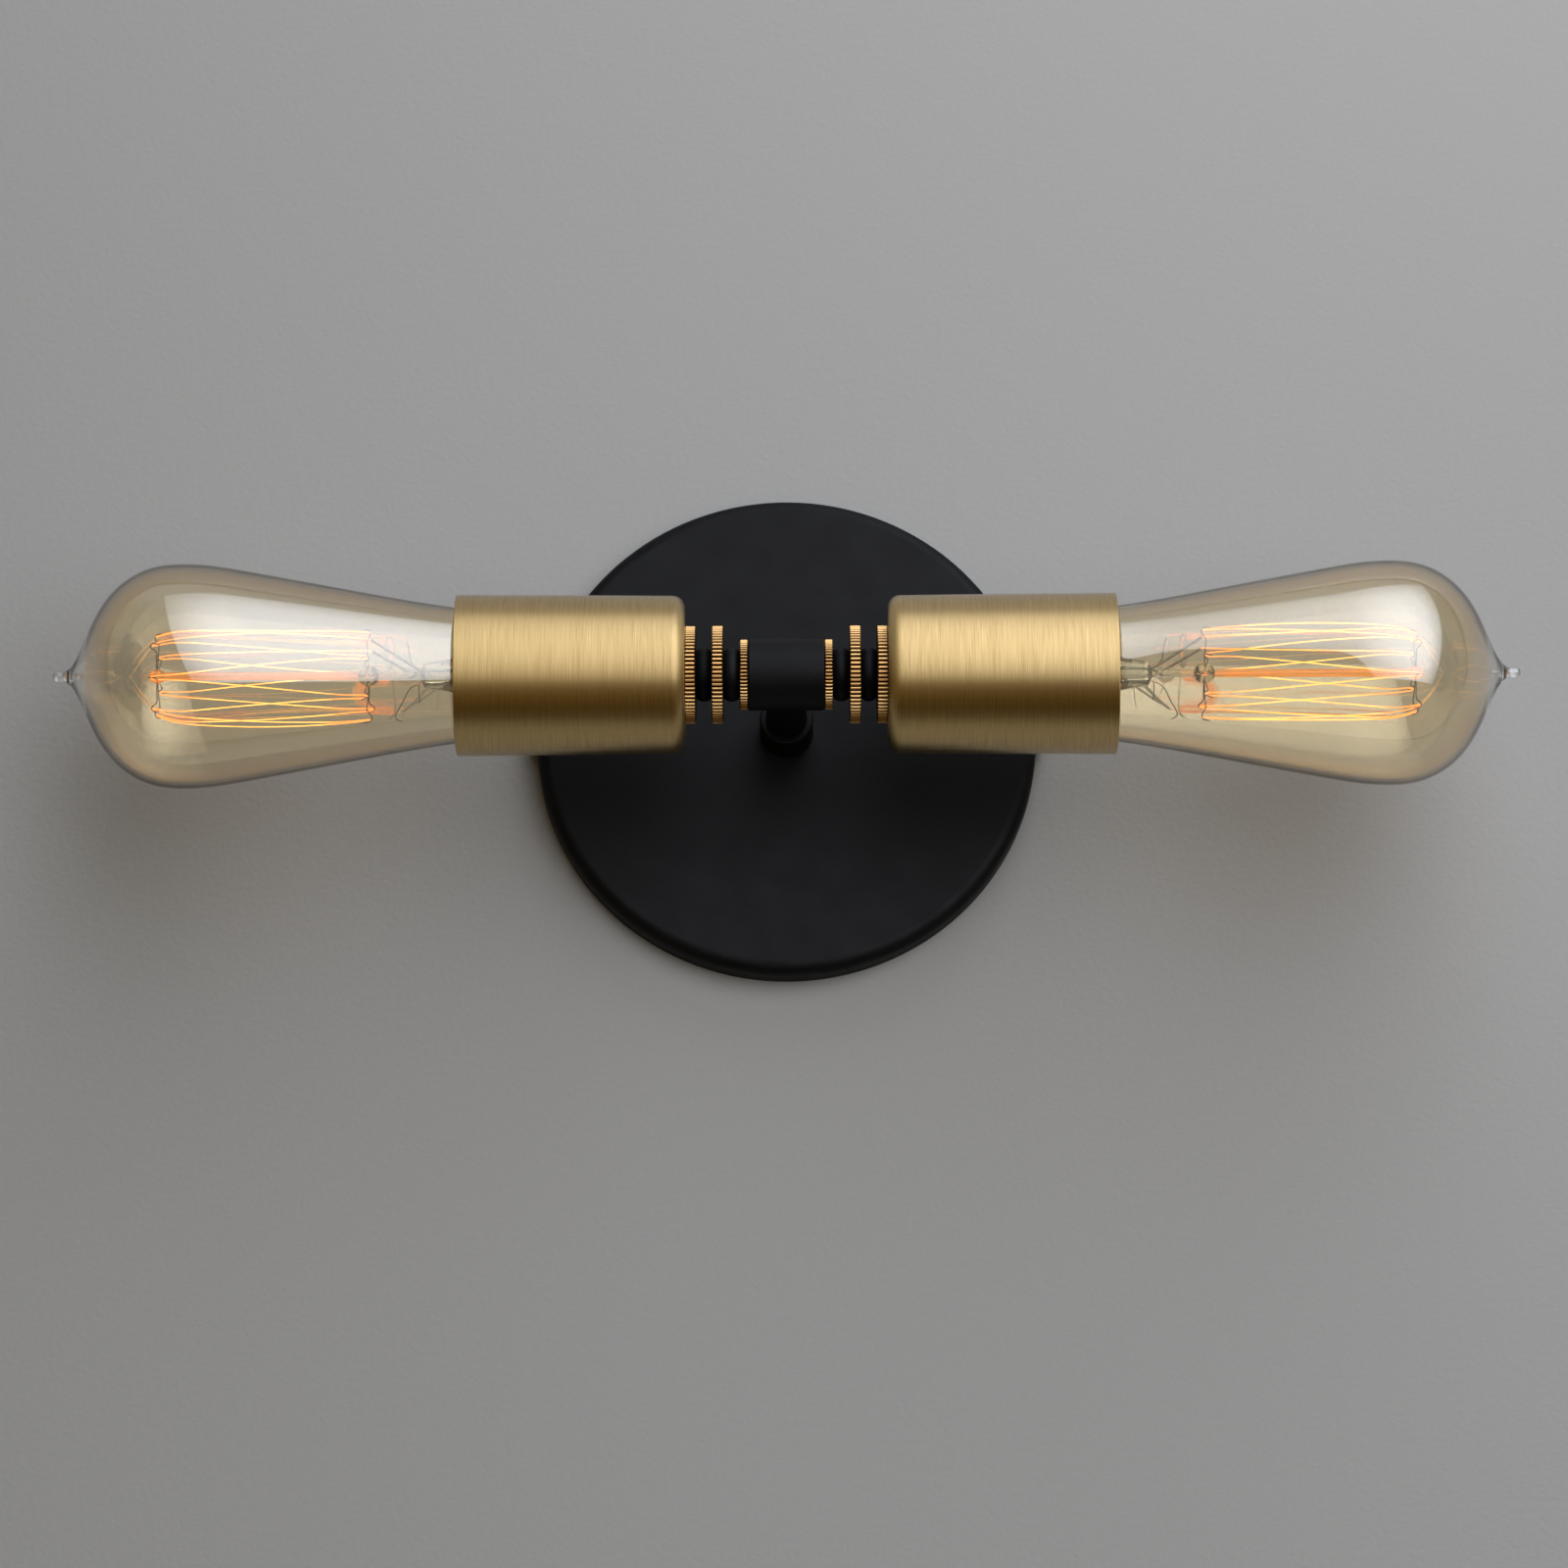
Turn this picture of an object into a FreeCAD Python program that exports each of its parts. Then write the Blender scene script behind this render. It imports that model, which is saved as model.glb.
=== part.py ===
import FreeCAD, Part
import math
import os
import Sketcher

# Wall light with two lamps on one horizontal arm.
# The frame has X to the right as the light is seen, Y into the wall and Z up.
# The origin is the middle of the round wall plate, on the wall.

# Driving sizes in millimetres: name, value, what it is
SIZES = [
    ("canopy_diameter", 127.0, "round plate on the wall"),
    ("canopy_depth", 8.0, "how far the plate stands out"),
    ("canopy_wall", 1.0, "sheet of the plate"),
    ("canopy_edge_radius", 3.2, "rounding of the front edge"),
    ("overrun", 1.0, "how far a cut runs past its piece"),
    ("strap_wall", 1.4, "sheet of the crossbar"),
    ("strap_width", 20.0, "crossbar, up and down"),
    ("strap_ear_height", 5.8, "crossbar ears, from the wall"),
    ("strap_ear_gap", 0.5, "ear corner to the inside of the plate"),
    ("strap_window", 12.0, "hole in the middle of the crossbar"),
    ("slot_width", 4.8, "slot for a box screw"),
    ("slot_near", 34.925, "nearest box screw, from the middle"),
    ("slot_far", 44.45, "furthest box screw, from the middle"),
    ("side_screw_height", 3.6, "screws in the rim of the plate"),
    ("side_screw_diameter", 3.0, "their shank"),
    ("side_screw_head", 6.0, "their head"),
    ("side_screw_head_height", 1.8, "their head"),
    ("ground_screw_place", 14.0, "ground screw, from the middle"),
    ("ground_screw_diameter", 4.6, "its shank"),
    ("ground_screw_head", 7.4, "its head"),
    ("ground_screw_head_height", 2.0, "its head"),
    ("ground_wire_diameter", 1.3, "bare copper"),
    ("pipe_diameter", 10.2, "lamp pipe of stem and arms"),
    ("pipe_bore", 7.4, "its bore"),
    ("pipe_clearance", 0.1, "hole round a pipe, on the radius"),
    ("pipe_break", 0.3, "broken edge of a pipe end"),
    ("arm_reach", 52.6, "arm from the wall"),
    ("arm_start", 5.4, "inner end of an arm pipe, from the middle"),
    ("stem_end_gap", 0.3, "stem end to the arm pipes"),
    ("collar_diameter", 13.5, "collar at the foot of the stem"),
    ("collar_length", 11.0, "that collar"),
    ("collar_edge", 0.6, "its rounded front edge"),
    ("washer_diameter", 15.0, "lock washer behind the plate"),
    ("washer_wall", 0.6, "that washer"),
    ("washer_notch", 1.3, "gap between two of its teeth"),
    ("nut_flats", 14.3, "lock nut across the flats"),
    ("nut_height", 2.4, "lock nut"),
    ("tee_diameter", 17.7, "fitting that joins stem and arms"),
    ("tee_length", 18.8, "that fitting"),
    ("tee_edge", 0.5, "its rounded end edges"),
    ("tee_ring_diameter", 17.2, "small knurled ring"),
    ("tee_ring_width", 2.05, "small knurled ring"),
    ("bead_diameter", 13.3, "black spacers of the arm"),
    ("bead_edge_diameter", 11.4, "spacer at its two faces"),
    ("inner_bead_width", 4.05, "spacer by the small ring"),
    ("middle_ring_diameter", 24.0, "knurled ring between the spacers"),
    ("middle_ring_width", 2.8, "that ring"),
    ("outer_bead_width", 3.95, "spacer by the cup ring"),
    ("cup_ring_diameter", 23.9, "knurled ring behind the cup"),
    ("cup_ring_width", 2.65, "that ring"),
    ("knurl_depth", 0.4, "teeth of the rings"),
    ("knurl_edge", 0.3, "broken edges of the rings"),
    ("cup_length", 56.1, "brass cup"),
    ("cup_mouth_diameter", 39.7, "brass cup at its open end"),
    ("cup_base_diameter", 38.9, "brass cup at its base"),
    ("cup_wall", 1.0, "brass cup"),
    ("cup_base_radius", 3.0, "rounding between base and side"),
    ("cup_lip", 0.25, "rounding of the open edge"),
    ("pipe_tail", 0.6, "arm pipe past its nut"),
    ("bracket_wall", 1.2, "strap that carries a lamp holder"),
    ("bracket_width", 12.0, "that strap"),
    ("bracket_leg_inset", 6.15, "its legs, inside the side of the holder"),
    ("bracket_foot_inset", 1.25, "its feet, inside the side of the holder"),
    ("bracket_height", 8.4, "cup base to lamp holder"),
    ("bracket_screw_inset", 3.75, "screws in the feet, inside the side of the holder"),
    ("bracket_screw_diameter", 3.0, "their shank"),
    ("bracket_screw_length", 6.5, "their shank"),
    ("bracket_screw_head", 4.8, "their head"),
    ("bracket_screw_head_height", 1.6, "their head"),
    ("screw_clearance", 0.1, "hole round a screw, on the radius"),
    ("holder_gap", 1.9, "lamp holder to the cup round it, on the radius"),
    ("holder_length", 31.7, "ceramic lamp holder"),
    ("holder_floor", 5.5, "back of the holder to its contact"),
    ("holder_well_diameter", 17.0, "well round the contact"),
    ("holder_well_depth", 3.5, "that well"),
    ("shell_diameter", 28.0, "brass screw shell in the holder"),
    ("shell_bore", 25.2, "its bore over the thread crests"),
    ("shell_clearance", 0.15, "shell to holder, on the radius"),
    ("shell_rim_gap", 0.1, "front of the shell to the sloping rim of the lamp cap"),
    ("shell_floor", 0.5, "flange at the bottom of the shell"),
    ("shell_floor_hole", 18.4, "hole in that flange"),
    ("thread_pitch", 3.629, "lamp thread, seven turns to the inch"),
    ("thread_centre_diameter", 24.5, "middle of the round thread"),
    ("thread_round", 0.85, "radius of the lamp's round thread"),
    ("thread_play", 0.35, "lamp thread to shell thread"),
    ("contact_wall", 0.4, "spring strip in the holder"),
    ("contact_width", 6.0, "that strip"),
    ("contact_foot", 7.0, "end of that strip, from the middle"),
    ("contact_knee", 4.0, "where it leaves the floor"),
    ("contact_flat", 2.2, "its raised middle, half"),
    ("contact_rise", 1.9, "its raised middle, over the floor"),
    ("terminal_place", 9.5, "terminal screws, from the middle"),
    ("terminal_plate_wall", 0.6, "plate under a terminal screw"),
    ("terminal_plate_length", 7.0, "that plate, outwards"),
    ("terminal_plate_width", 6.0, "that plate, across"),
    ("terminal_screw_diameter", 3.0, "its shank"),
    ("terminal_screw_depth", 3.0, "its shank in the holder"),
    ("terminal_head", 5.6, "its head"),
    ("terminal_head_height", 1.6, "its head"),
    ("wire_diameter", 1.8, "insulated lead"),
    ("core_diameter", 1.0, "its copper"),
    ("wire_apart", 1.1, "leads from the middle of a pipe"),
    ("wire_side", 1.05, "leads in the stem, from its middle"),
    ("wire_terminal_bend", 2.6, "bend at a lamp holder"),
    ("wire_tee_bend", 3.0, "bend in the tee"),
    ("wire_stem_bend", 2.5, "bend behind the stem"),
    ("wire_bare_start", 5.8, "where the lead is stripped, from the middle"),
    ("core_reach", 12.0, "end of the copper, from the middle"),
    ("wire_run_inset", 29.5, "end of its straight run, inside the edge of the plate"),
    ("wire_end_side", 9.0, "its end, to the side"),
    ("wire_end_inset", 15.5, "its end, inside the edge of the plate"),
    ("wire_end_bend", 16.0, "gentle bend near the end"),
    ("core_end", 8.0, "bare copper past the end"),
    ("ground_run", 12.0, "ground wire up from its screw"),
    ("ground_end_side", 19.0, "its end, to the side"),
    ("ground_end_inset", 19.5, "its end, inside the edge of the plate"),
    ("ground_tail", 3.0, "ground wire past its screw"),
    ("ground_bend", 9.0, "gentle bend of the ground wire"),
    ("lamp_length", 138.6, "lamp from contact to glass tip"),
    ("lamp_diameter", 55.8, "widest glass"),
    ("lamp_seat", 0.3, "lamp contact to the holder's strip"),
    ("lamp_contact_diameter", 9.2, "button at the foot of the lamp"),
    ("lamp_contact_height", 1.4, "that button"),
    ("lamp_contact_edge_height", 0.5, "rim of that button"),
    ("insulator_foot", 9.8, "black glass at the button"),
    ("insulator_top", 18.0, "black glass at the cap"),
    ("insulator_cone", 2.3, "sloping part of the black glass"),
    ("insulator_height", 3.2, "black glass"),
    ("insulator_bore", 2.4, "hole in the black glass"),
    ("cap_start", 3.8, "metal cap, from the lamp's foot"),
    ("cap_length", 20.7, "metal cap"),
    ("cap_diameter", 24.4, "metal cap between the threads"),
    ("cap_wall", 0.4, "its sheet"),
    ("cap_foot_diameter", 18.8, "where it closes on the black glass"),
    ("cap_shoulder", 1.4, "its sloping foot"),
    ("cap_rim_diameter", 26.0, "plain rim by the glass"),
    ("cap_rim_length", 1.2, "that rim"),
    ("thread_start", 6.9, "first thread, from the lamp's foot"),
    ("glass_wall", 0.8, "bulb glass"),
    ("nib_radius", 1.4, "drawn tip of the glass"),
    ("flare_foot", 16.0, "foot of the inner glass, from the lamp's foot"),
    ("flare_diameter", 20.2, "inner glass at its foot"),
    ("stem_glass_diameter", 8.8, "inner glass tube"),
    ("stem_glass_bore", 6.8, "its bore"),
    ("flare_height", 8.5, "its funnel"),
    ("pinch_start", 39.0, "where the tube is pinched, from the foot"),
    ("pinch_top", 47.0, "top of the pinch, from the foot"),
    ("pinch_diameter", 6.2, "pinched glass"),
    ("rod_diameter", 2.0, "glass rod of the filament"),
    ("near_bead_height", 60.8, "glass bead, from the lamp's foot"),
    ("near_bead_diameter", 5.0, "that bead"),
    ("far_bead_height", 112.7, "end bead, from the lamp's foot"),
    ("far_bead_diameter", 3.6, "that bead"),
    ("near_hook_radius", 9.9, "filament corners by the near bead"),
    ("far_hook_radius", 12.9, "filament corners by the end bead"),
    ("filament_diameter", 0.5, "coiled tungsten"),
    ("filament_turn", 0.55, "bend round a support"),
    ("support_diameter", 0.4, "support wires"),
    ("support_reach", 0.9, "support wires past the filament"),
    ("lead_diameter", 0.7, "lead wires in the lamp"),
    ("lead_apart", 1.7, "lead wires from the middle of the pinch"),
    ("lead_bend", 4.0, "bend of a lead wire"),
    ("lead_start", 5.0, "lead wires, from the lamp's foot"),
    ("lead_gap", 0.05, "lead end to filament end"),
]

# Counts, turns and angles
TEE_RING_TEETH = 58
LARGE_RING_TEETH = 70
KNURL_HALF_ANGLE = 45.0
WASHER_TEETH = 10
THREAD_TURNS = 3.6
TURNS_PAST_FRONT = (1.0, 0.5, 0.0, 1.5, 0.25, 0.75)
HOOKS = 7
FIRST_HOOK_ANGLE = 188.0
LEAD_HALF_ANGLE = 14.0
HEXAGON = 6

# Shares of other sizes
HEAD_ROUNDING_SHARE = 0.33
HOLDER_ROUNDING_SHARE = 0.38
HOOK_BEND_SHARE = 0.8
ROD_TOLERANCE_SHARE = 0.01
THREAD_CUT_SHARE = 0.9

# Outside of the bulb glass, each place a share of the lamp's length from its foot.
# The foot is in shares of the cap's radius, the neck of the cup's open end inside,
# and the bulb of its widest radius.
GLASS_FOOT_SHARES = [
    (0.1154, 0.9148),
    (0.1660, 0.9330),
    (0.1912, 1.0794),
]
GLASS_NECK_SHARES = [
    (0.2237, 0.8111),
    (0.2597, 0.8703),
    (0.3030, 0.9103),
    (0.3608, 0.9769),
]
GLASS_BULB_SHARES = [
    (0.4618, 0.7530),
    (0.5628, 0.8480),
    (0.6638, 0.9400),
    (0.7143, 0.9810),
    (0.7612, 1.0000),
    (0.8009, 0.9880),
    (0.8326, 0.9470),
    (0.8636, 0.8680),
    (0.8910, 0.7540),
    (0.9141, 0.6050),
    (0.9322, 0.4250),
    (0.9488, 0.2350),
    (0.9610, 0.1250),
    (0.9740, 0.0660),
]
GLASS_INSIDE_END_SHARE = 0.9545
GLASS_TIP_COUNT = 3


class Size:
    """A length known as a number and as a formula over the sheet."""

    def __init__(self, number, formula):
        self.number = number
        self.formula = formula

    def __add__(self, other):
        other = as_size(other)
        return Size(self.number + other.number, f"({self.formula} + {other.formula})")

    def __sub__(self, other):
        other = as_size(other)
        return Size(self.number - other.number, f"({self.formula} - {other.formula})")

    def __mul__(self, other):
        other = as_size(other)
        return Size(self.number * other.number, f"({self.formula} * {other.formula})")

    def __truediv__(self, other):
        other = as_size(other)
        return Size(self.number / other.number, f"({self.formula} / {other.formula})")

    def __neg__(self):
        return Size(-self.number, f"(-1 * {self.formula})")

    def __rmul__(self, other):
        return self * other


def as_size(value):
    if isinstance(value, Size):
        return value
    return Size(float(value), str(float(value)))


def root(size):
    return Size(math.sqrt(size.number), f"sqrt({size.formula})")


ZERO = as_size(0)
doc = FreeCAD.newDocument("vanity_light")


def fill_sheet():
    """Writes the driving sizes into the sheet and returns them by name."""
    sheet = doc.addObject("Spreadsheet::Sheet", "Sizes")
    named = {}
    for row, (name, value, note) in enumerate(SIZES, start=1):
        sheet.set(f"A{row}", name)
        sheet.set(f"B{row}", str(value))
        sheet.setAlias(f"B{row}", name)
        sheet.set(f"C{row}", note)
        named[name] = Size(value, f"Sizes.{name}")
    doc.recompute()
    return named


class Sheet:
    """Reads a size by its name, as in s.canopy_diameter."""

    def __init__(self, named):
        self.named = named

    def __getattr__(self, name):
        return self.named[name]


s = Sheet(fill_sheet())

# Places along an arm, from the middle of the tee outwards
tee_end = s.tee_length / 2
tee_ring_end = tee_end + s.tee_ring_width
inner_bead_end = tee_ring_end + s.inner_bead_width
middle_ring_end = inner_bead_end + s.middle_ring_width
outer_bead_end = middle_ring_end + s.outer_bead_width
cup_base = outer_bead_end + s.cup_ring_width
cup_mouth = cup_base + s.cup_length
cup_floor = cup_base + s.cup_wall
nut_seat = cup_floor + s.bracket_wall
arm_end = nut_seat + s.nut_height + s.pipe_tail
holder_back = cup_floor + s.bracket_height
holder_contact = holder_back + s.holder_floor
shell_seat = holder_contact + s.holder_well_depth
holder_front = holder_back + s.holder_length
lamp_foot = holder_contact + s.contact_rise + s.lamp_seat
cap_start = lamp_foot + s.cap_start
cap_end = cap_start + s.cap_length
cap_rim_start = cap_end - s.cap_rim_length
cap_slope_start = cap_rim_start - s.cap_shoulder / 2
shell_front = cap_slope_start - s.shell_rim_gap

# Sizes inside a cup, from the cup round them
cup_bore_middle = (s.cup_base_diameter + s.cup_mouth_diameter) / 4 - s.cup_wall
holder_radius = cup_bore_middle - s.holder_gap
bracket_foot = holder_radius - s.bracket_foot_inset
bracket_leg = holder_radius - s.bracket_leg_inset
bracket_screw_place = holder_radius - s.bracket_screw_inset

# Places behind the wall plate, from the wall outwards
plate_back = s.canopy_depth - s.canopy_wall
washer_back = plate_back - s.washer_wall
stem_back = washer_back - s.nut_height
stem_front = s.arm_reach - s.pipe_diameter / 2 - s.pipe_clearance - s.stem_end_gap
wire_height = (stem_back + s.strap_wall) / 2
plate_edge = s.canopy_diameter / 2
plate_inside = plate_edge - s.canopy_wall
ear_outside = root(plate_inside * plate_inside - s.strap_width * s.strap_width / 4) - s.strap_ear_gap
pipe_radius = s.pipe_diameter / 2
pipe_hole = pipe_radius + s.pipe_clearance


def plane_of(body, role):
    for feature in body.Origin.OriginFeatures:
        if feature.Role == role:
            return feature
    raise RuntimeError("no plane " + role)


def new_body(label):
    body = doc.addObject("PartDesign::Body", label)
    body.Label = label
    return body


def new_sketch(body, name, role):
    sketch = body.newObject("Sketcher::SketchObject", name)
    sketch.AttachmentSupport = [(plane_of(body, role), "")]
    sketch.MapMode = "FlatFace"
    return sketch


def bind(thing, path, size):
    """Sets a property from the sheet."""
    thing.setExpression(path, as_size(size).formula)


def pin(sketch, kind, curve, end, size):
    """Fixes one coordinate of a sketch point to the sheet."""
    if size.number == 0:
        axis = -2 if kind == "DistanceX" else -1
        sketch.addConstraint(Sketcher.Constraint("PointOnObject", curve, end, axis))
        return
    if size.number > 0:
        rule = Sketcher.Constraint(kind, -1, 1, curve, end, size.number)
        formula = size.formula
    else:
        rule = Sketcher.Constraint(kind, curve, end, -1, 1, -size.number)
        formula = (-size).formula
    index = sketch.addConstraint(rule)
    sketch.setExpression(f"Constraints[{index}]", formula)


def outline(body, name, role, corners):
    """Closed outline through the corners, each an across and an up size.

    A third size bulges the upright stretch to the next corner by that much.
    """
    sketch = new_sketch(body, name, role)
    across = [as_size(corner[0]) for corner in corners]
    up = [as_size(corner[1]) for corner in corners]
    points = [FreeCAD.Vector(a.number, b.number, 0) for a, b in zip(across, up)]
    count = len(corners)
    ends = []
    for index, corner in enumerate(corners):
        start = points[index]
        stop = points[(index + 1) % count]
        if len(corner) == 3:
            chord = stop - start
            side = FreeCAD.Vector(chord.y, -chord.x, 0).normalize()
            middle = (start + stop) * 0.5 + side * corner[2].number
            sketch.addGeometry(Part.Arc(start, middle, stop), False)
            first = (sketch.getPoint(index, 1) - start).Length
            second = (sketch.getPoint(index, 2) - start).Length
            ends.append((2, 1) if first > second else (1, 2))
        else:
            sketch.addGeometry(Part.LineSegment(start, stop), False)
            ends.append((1, 2))
    for index in range(count):
        following = (index + 1) % count
        sketch.addConstraint(
            Sketcher.Constraint("Coincident", index, ends[index][1], following, ends[following][0])
        )
    for index, corner in enumerate(corners):
        pin(sketch, "DistanceX", index, ends[index][0], across[index])
        pin(sketch, "DistanceY", index, ends[index][0], up[index])
        if len(corner) == 3:
            following = (index + 1) % count
            rise = up[following] - up[index]
            radius = corner[2] / 2 + rise * rise / (8 * corner[2])
            outward = 1 if rise.number > 0 else -1
            pin(sketch, "DistanceX", index, 3, across[index] + outward * (corner[2] - radius))
    return sketch


def circle(body, name, role, across, up, radius):
    """One circle in a sketch, its middle and radius bound to the sheet."""
    sketch = new_sketch(body, name, role)
    middle = FreeCAD.Vector(across.number, up.number, 0)
    sketch.addGeometry(Part.Circle(middle, FreeCAD.Vector(0, 0, 1), radius.number), False)
    pin(sketch, "DistanceX", 0, 3, across)
    pin(sketch, "DistanceY", 0, 3, up)
    rule = sketch.addConstraint(Sketcher.Constraint("Radius", 0, radius.number))
    sketch.setExpression(f"Constraints[{rule}]", radius.formula)
    return sketch


def turned(label, corners):
    """Body turned about its own Z from an outline of radius and height."""
    body = new_body(label)
    sketch = outline(body, label + "_outline", "XZ_Plane", corners)
    turn = body.newObject("PartDesign::Revolution", label + "_turn")
    turn.Profile = sketch
    turn.ReferenceAxis = (sketch, ["V_Axis"])
    turn.Angle = 360
    doc.recompute()
    return body


def padded(label, role, corners, width):
    """Body of even width, half to each side of its outline."""
    body = new_body(label)
    sketch = outline(body, label + "_outline", role, corners)
    pad = body.newObject("PartDesign::Pad", label + "_pad")
    pad.Profile = sketch
    pad.Midplane = True
    bind(pad, "Length", width)
    doc.recompute()
    return body


def drilled(body, name, role, across, up, radius, length, both=True):
    """Round hole square to an origin plane, to both sides or to one."""
    before = body.Shape.Volume
    sketch = circle(body, name + "_circle", role, across, up, radius)
    hole = body.newObject("PartDesign::Pocket", name)
    hole.Profile = sketch
    hole.Midplane = both
    bind(hole, "Length", length)
    doc.recompute()
    if body.Shape.Volume >= before:
        raise RuntimeError(name + " cuts nothing")


def rims(body, marks):
    """Names of the round edges at the given radius and height."""
    found = []
    for number, edge in enumerate(body.Shape.Edges, start=1):
        if not isinstance(edge.Curve, Part.Circle):
            continue
        local = body.Placement.inverse().multVec(edge.Curve.Center)
        for radius, height in marks:
            near_radius = abs(edge.Curve.Radius - radius.number) < 1e-4
            near_height = abs(local.z - height.number) < 1e-4
            if near_radius and near_height and math.hypot(local.x, local.y) < 1e-4:
                found.append(f"Edge{number}")
    if len(found) < len(marks):
        raise RuntimeError(body.Label + " lacks a rim to round")
    return found


def rounded(body, name, radius, marks):
    """Rounds the round edges at the marks."""
    base = body.Tip
    fillet = body.newObject("PartDesign::Fillet", name)
    fillet.Base = (base, rims(body, marks))
    bind(fillet, "Radius", radius)
    doc.recompute()


def beveled(body, name, size, marks):
    """Breaks the round edges at the marks."""
    base = body.Tip
    chamfer = body.newObject("PartDesign::Chamfer", name)
    chamfer.Base = (base, rims(body, marks))
    bind(chamfer, "Size", size)
    doc.recompute()


def on_wall(thing, across=ZERO):
    """Turns a piece's own Z out of the wall."""
    turn = FreeCAD.Rotation(FreeCAD.Vector(1, 0, 0), 90)
    thing.Placement = FreeCAD.Placement(FreeCAD.Vector(across.number, 0, 0), turn)
    bind(thing, "Placement.Base.x", across)


def on_arm(thing, side=1):
    """Turns a piece's own Z outwards along the right or the left arm."""
    turn = FreeCAD.Rotation(FreeCAD.Vector(0, 1, 0), 90 * side)
    thing.Placement = FreeCAD.Placement(FreeCAD.Vector(0, -s.arm_reach.number, 0), turn)
    bind(thing, "Placement.Base.y", -s.arm_reach)


def mirrored(thing, label):
    """The left hand copy of a piece of the right arm."""
    copy = doc.addObject("Part::Mirroring", label)
    copy.Label = label
    copy.Source = thing
    copy.Base = FreeCAD.Vector(0, 0, 0)
    copy.Normal = FreeCAD.Vector(1, 0, 0)
    return copy


def grouped(label, things):
    """Like pieces kept as separate solids under one name."""
    group = doc.addObject("Part::Compound", label)
    group.Label = label
    group.Links = things
    return group


def shaped(label, shape):
    """A piece whose shape is worked out here from the sheet."""
    feature = doc.addObject("Part::Feature", label)
    feature.Label = label
    feature.Shape = shape
    return feature


def tube_piece(label, inner, outer, start, end):
    """Plain ring or pipe between two heights."""
    return turned(label, [(inner, start), (outer, start), (outer, end), (inner, end)])


def bent_wire(points, bends):
    """Straight runs through the points, joined by tangent arcs."""
    edges = []
    last = points[0]
    for index in range(1, len(points) - 1):
        corner = points[index]
        before = (points[index - 1] - corner).normalize()
        after = (points[index + 1] - corner).normalize()
        half_turn = (math.pi - before.getAngle(after)) / 2
        reach = bends[index - 1] * math.tan(half_turn)
        start = corner + before * reach
        stop = corner + after * reach
        inward = (before + after).normalize()
        depth = bends[index - 1] / math.cos(half_turn) - bends[index - 1]
        middle = corner + inward * depth
        edges.append(Part.LineSegment(last, start).toShape())
        edges.append(Part.Arc(start, middle, stop).toShape())
        last = stop
    edges.append(Part.LineSegment(last, points[-1]).toShape())
    return Part.Wire(edges)


def rod(points, bends, radius):
    """Round bar along a bent wire, with its volume checked."""
    path = bent_wire(points, bends)
    heading = (points[1] - points[0]).normalize()
    section = Part.Wire([Part.makeCircle(radius, points[0], heading)])
    bar = path.makePipeShell([section], True, False)
    expected = math.pi * radius ** 2 * path.Length
    if abs(bar.Volume - expected) > ROD_TOLERANCE_SHARE * expected:
        raise RuntimeError("a bent bar has the wrong volume")
    return bar


def vector(x, y, z):
    return FreeCAD.Vector(x, y, z)


def polar(radius, degrees, height):
    angle = math.radians(degrees)
    return FreeCAD.Vector(radius * math.cos(angle), radius * math.sin(angle), height)


# Wall plate
def build_canopy():
    outer = s.canopy_diameter / 2
    inner = outer - s.canopy_wall
    body = turned("canopy", [
        (outer, ZERO),
        (outer, s.canopy_depth),
        (pipe_hole, s.canopy_depth),
        (pipe_hole, plate_back),
        (inner, plate_back),
        (inner, ZERO),
    ])
    rounded(body, "canopy_front_edge", s.canopy_edge_radius, [(outer, s.canopy_depth)])
    rounded(body, "canopy_inner_edge", s.canopy_edge_radius - s.canopy_wall, [(inner, plate_back)])
    hole = s.side_screw_diameter / 2 + s.screw_clearance
    drilled(body, "canopy_rim_holes", "YZ_Plane", ZERO, s.side_screw_height, hole, s.canopy_diameter)
    on_wall(body)
    return [body]


# Crossbar that the plate hangs on, with its screws and ground wire
def build_crossbar():
    wall = s.strap_wall
    ear_inside = ear_outside - wall
    body = padded("crossbar", "XZ_Plane", [
        (-ear_outside, ZERO),
        (ear_outside, ZERO),
        (ear_outside, s.strap_ear_height),
        (ear_inside, s.strap_ear_height),
        (ear_inside, wall),
        (-ear_inside, wall),
        (-ear_inside, s.strap_ear_height),
        (-ear_outside, s.strap_ear_height),
    ], s.strap_width)
    cut = 2 * (wall + s.overrun)
    drilled(body, "crossbar_window", "XY_Plane", ZERO, ZERO, s.strap_window / 2, cut)
    ground = s.ground_screw_diameter / 2 + s.screw_clearance
    drilled(body, "crossbar_ground_hole", "XY_Plane", s.ground_screw_place, ZERO, ground, cut)
    ear_hole = s.side_screw_diameter / 2 + s.screw_clearance
    drilled(body, "crossbar_ear_holes", "YZ_Plane", ZERO, s.side_screw_height, ear_hole, s.canopy_diameter)
    half = s.slot_width / 2
    for side, name in ((1, "right_slot"), (-1, "left_slot")):
        near = side * s.slot_near
        far = side * s.slot_far
        low = -side * half
        high = side * half
        before = body.Shape.Volume
        sketch = outline(body, name + "_outline", "XY_Plane", [
            (near, low),
            (far, low, half),
            (far, high),
            (near, high, half),
        ])
        slot = body.newObject("PartDesign::Pocket", name)
        slot.Profile = sketch
        slot.Midplane = True
        bind(slot, "Length", cut)
        doc.recompute()
        if body.Shape.Volume >= before:
            raise RuntimeError(name + " cuts nothing")
    on_wall(body)
    return [body]


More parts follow.
